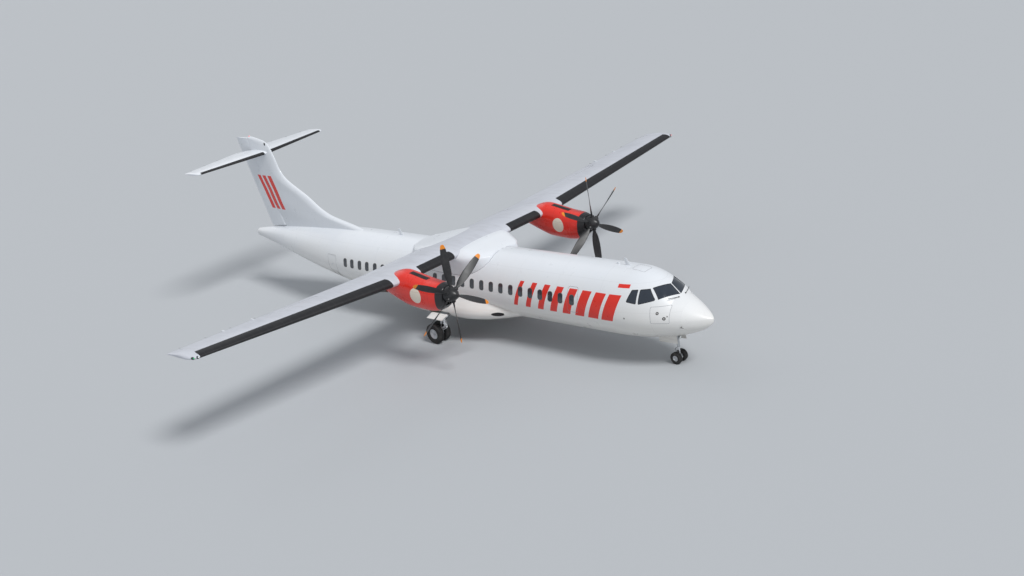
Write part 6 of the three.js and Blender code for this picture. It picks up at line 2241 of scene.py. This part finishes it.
print("outlines", len(lines), "ports", len(ports))

# %% [markdown]
# Blade aerials stand on the crown and under the belly. A wiper rests below each front pane, and a
# probe stands out on each side of the nose.

# %% Aerials, wipers and probes
AERIALS = [  # station, foot, height, chord, sweep, 1 for up and -1 for down
    (3.54, 1.41, 0.3, 0.24, 0.13, 1), (4.02, 1.42, 0.09, 0.16, 0.03, 1),
    (16.175, 1.41, 0.31, 0.24, 0.14, 1), (6.2, -1.19, 0.22, 0.22, 0.1, -1),
    (17.0, -1.19, 0.2, 0.22, 0.1, -1),
]
AERIAL_THICKNESS = 0.022
AERIAL_ROWS = [(0, 1, 1), (0.25, 1, 1), (0.5, 1, 1), (0.75, 1, 1), (0.92, 1, 1), (1.0, 0.6, 0.5)]


def aerial(s, foot, height, chord, sweep, up):
    """A swept blade aerial with a round nose, tapering to its tip."""
    rings = []
    for t, longer, thicker in AERIAL_ROWS:
        size = chord * (1 - 0.45 * t) * longer
        thick = AERIAL_THICKNESS * (1 - 0.5 * t) * thicker
        middle = s + sweep * t
        rings.append([at(middle + size / 2 * cos(a), thick * sin(a), foot + up * height * t)
                      for a in turns(20)])
    return skin("aerial", rings)


WIPER = Sizes(
    foot=(1.245, 0.2, 0.565), elbow=(1.3, 0.42, 0.6), tip=(1.4, 0.62, 0.625), arm=0.008, blade=0.01,
)
WIPER_HUB = (0.03, 0.03, 0.02)
PROBE = Sizes(s=0.91, z=-0.35, out=0.07, drop=0.01, behind=0.03, ahead=0.12, mast=0.012, tip=0.009)
aerials = join("blade_aerials", [aerial(*row) for row in AERIALS])
finish(aerials, PLAIN_WHITE, (), 50)


def wiper(side):
    foot, elbow, tip = (at(s, side * y, z) for s, y, z in (WIPER.foot, WIPER.elbow, WIPER.tip))
    arm = tube("arm", [foot, foot.lerp(elbow, 0.5), elbow], WIPER.arm)
    blade = tube("blade", [elbow.lerp(foot, 0.6), elbow, tip], WIPER.blade)
    return join("wiper", [arm, blade, ball("hub", foot, WIPER_HUB)])


def probe(side):
    foot = on_skin(PROBE.s, PROBE.z, side)
    head = foot + Vector((0, side * PROBE.out, -PROBE.drop))
    ends = [head - Vector((PROBE.behind, 0, 0)), head + Vector((PROBE.ahead, 0, 0))]
    tip = tube("tip", ends, PROBE.tip)
    return join("probe", [tube("mast", [foot, head], PROBE.mast), tip])


finish(join("wipers", [wiper(1), wiper(-1)]), BLACK_PAINT, (), 50)
finish(join("pitot_probes", [probe(1), probe(-1)]), DARK_METAL, (), 50)

# %% [markdown]
# Two lamps sit under glass in the rounded front of each wing tip. The outer one is red to port and
# green to starboard. Small bumps on the ailerons cover their hinges.

# %% Lamps in the wing tips
TIP_LAMPS = [  # name, span, bulbs to port and starboard
    ("tip_lamp_inner", 13.265, (CLEAR_LAMP, CLEAR_LAMP)), ("tip_lamp_outer", 13.395, (RED_LAMP, GREEN_LAMP)),
]
LENS_BALL = Sizes(place=(-0.055, 0, 0), sizes=(0.105, 0.052, 0.055))
BULB_BALL = Sizes(place=(0.032, 0, 0.014), sizes=(0.022, 0.026, 0.022))
for name, span, bulbs in TIP_LAMPS:
    edge = max(tip_ring(WING, span), key=lambda point: point.x)
    forms = (LENS_BALL, BULB_BALL)
    lens, bulb = (ball("ball", edge + Vector(form.place), form.sizes) for form in forms)
    lamp_pair = join(f"{name}_left", [coat_with(lens, SCREEN_GLASS), coat_with(bulb, CLEAR_LAMP)])
    pair = both_sides(lamp_pair, None, None, 60)
    for piece, glow in zip(pair, bulbs):
        piece.data.materials[1] = glow
BUMPS = Sizes(spans=(9.8, 11.1), place=0.955, sizes=(0.15, 0.028, 0.035))
bumps = [ball("bump", on_surface(WING, y, BUMPS.place, 1), BUMPS.sizes) for y in BUMPS.spans]
bumps = join("aileron_bumps_left", bumps)
both_sides(bumps, PLAIN_WHITE, None, 60, body="aileron_{side}_body")
print("small fittings made", len(made))

# %% [markdown]
# The solids that stay visible have the right form already. They only need a finish, by the slot
# that the record gives them.

# %% Finishes of the solids that stay
SLOTS = {part["node"]: part["material_slot"] for part in frame["record"]["subparts"]}
SLOT_FINISH = {
    "white_paint": PLAIN_WHITE, "white_composite": PLAIN_WHITE, "red_paint": COWL_RED,
    "grey_paint": WING_PAINT, "glass": SCREEN_GLASS, "black_paint": BLACK_PAINT,
    "blade_composite": BLACK_PAINT, "gear_steel": GEAR_PAINT, "tyre": TYRE,
}
for name, node in frame["nodes"].items():
    node.data.materials.clear()
    node.data.materials.append(SLOT_FINISH[SLOTS[name]])
print("solids dressed", len(frame["nodes"]))

# %% Pieces made
print("pieces", len(made))
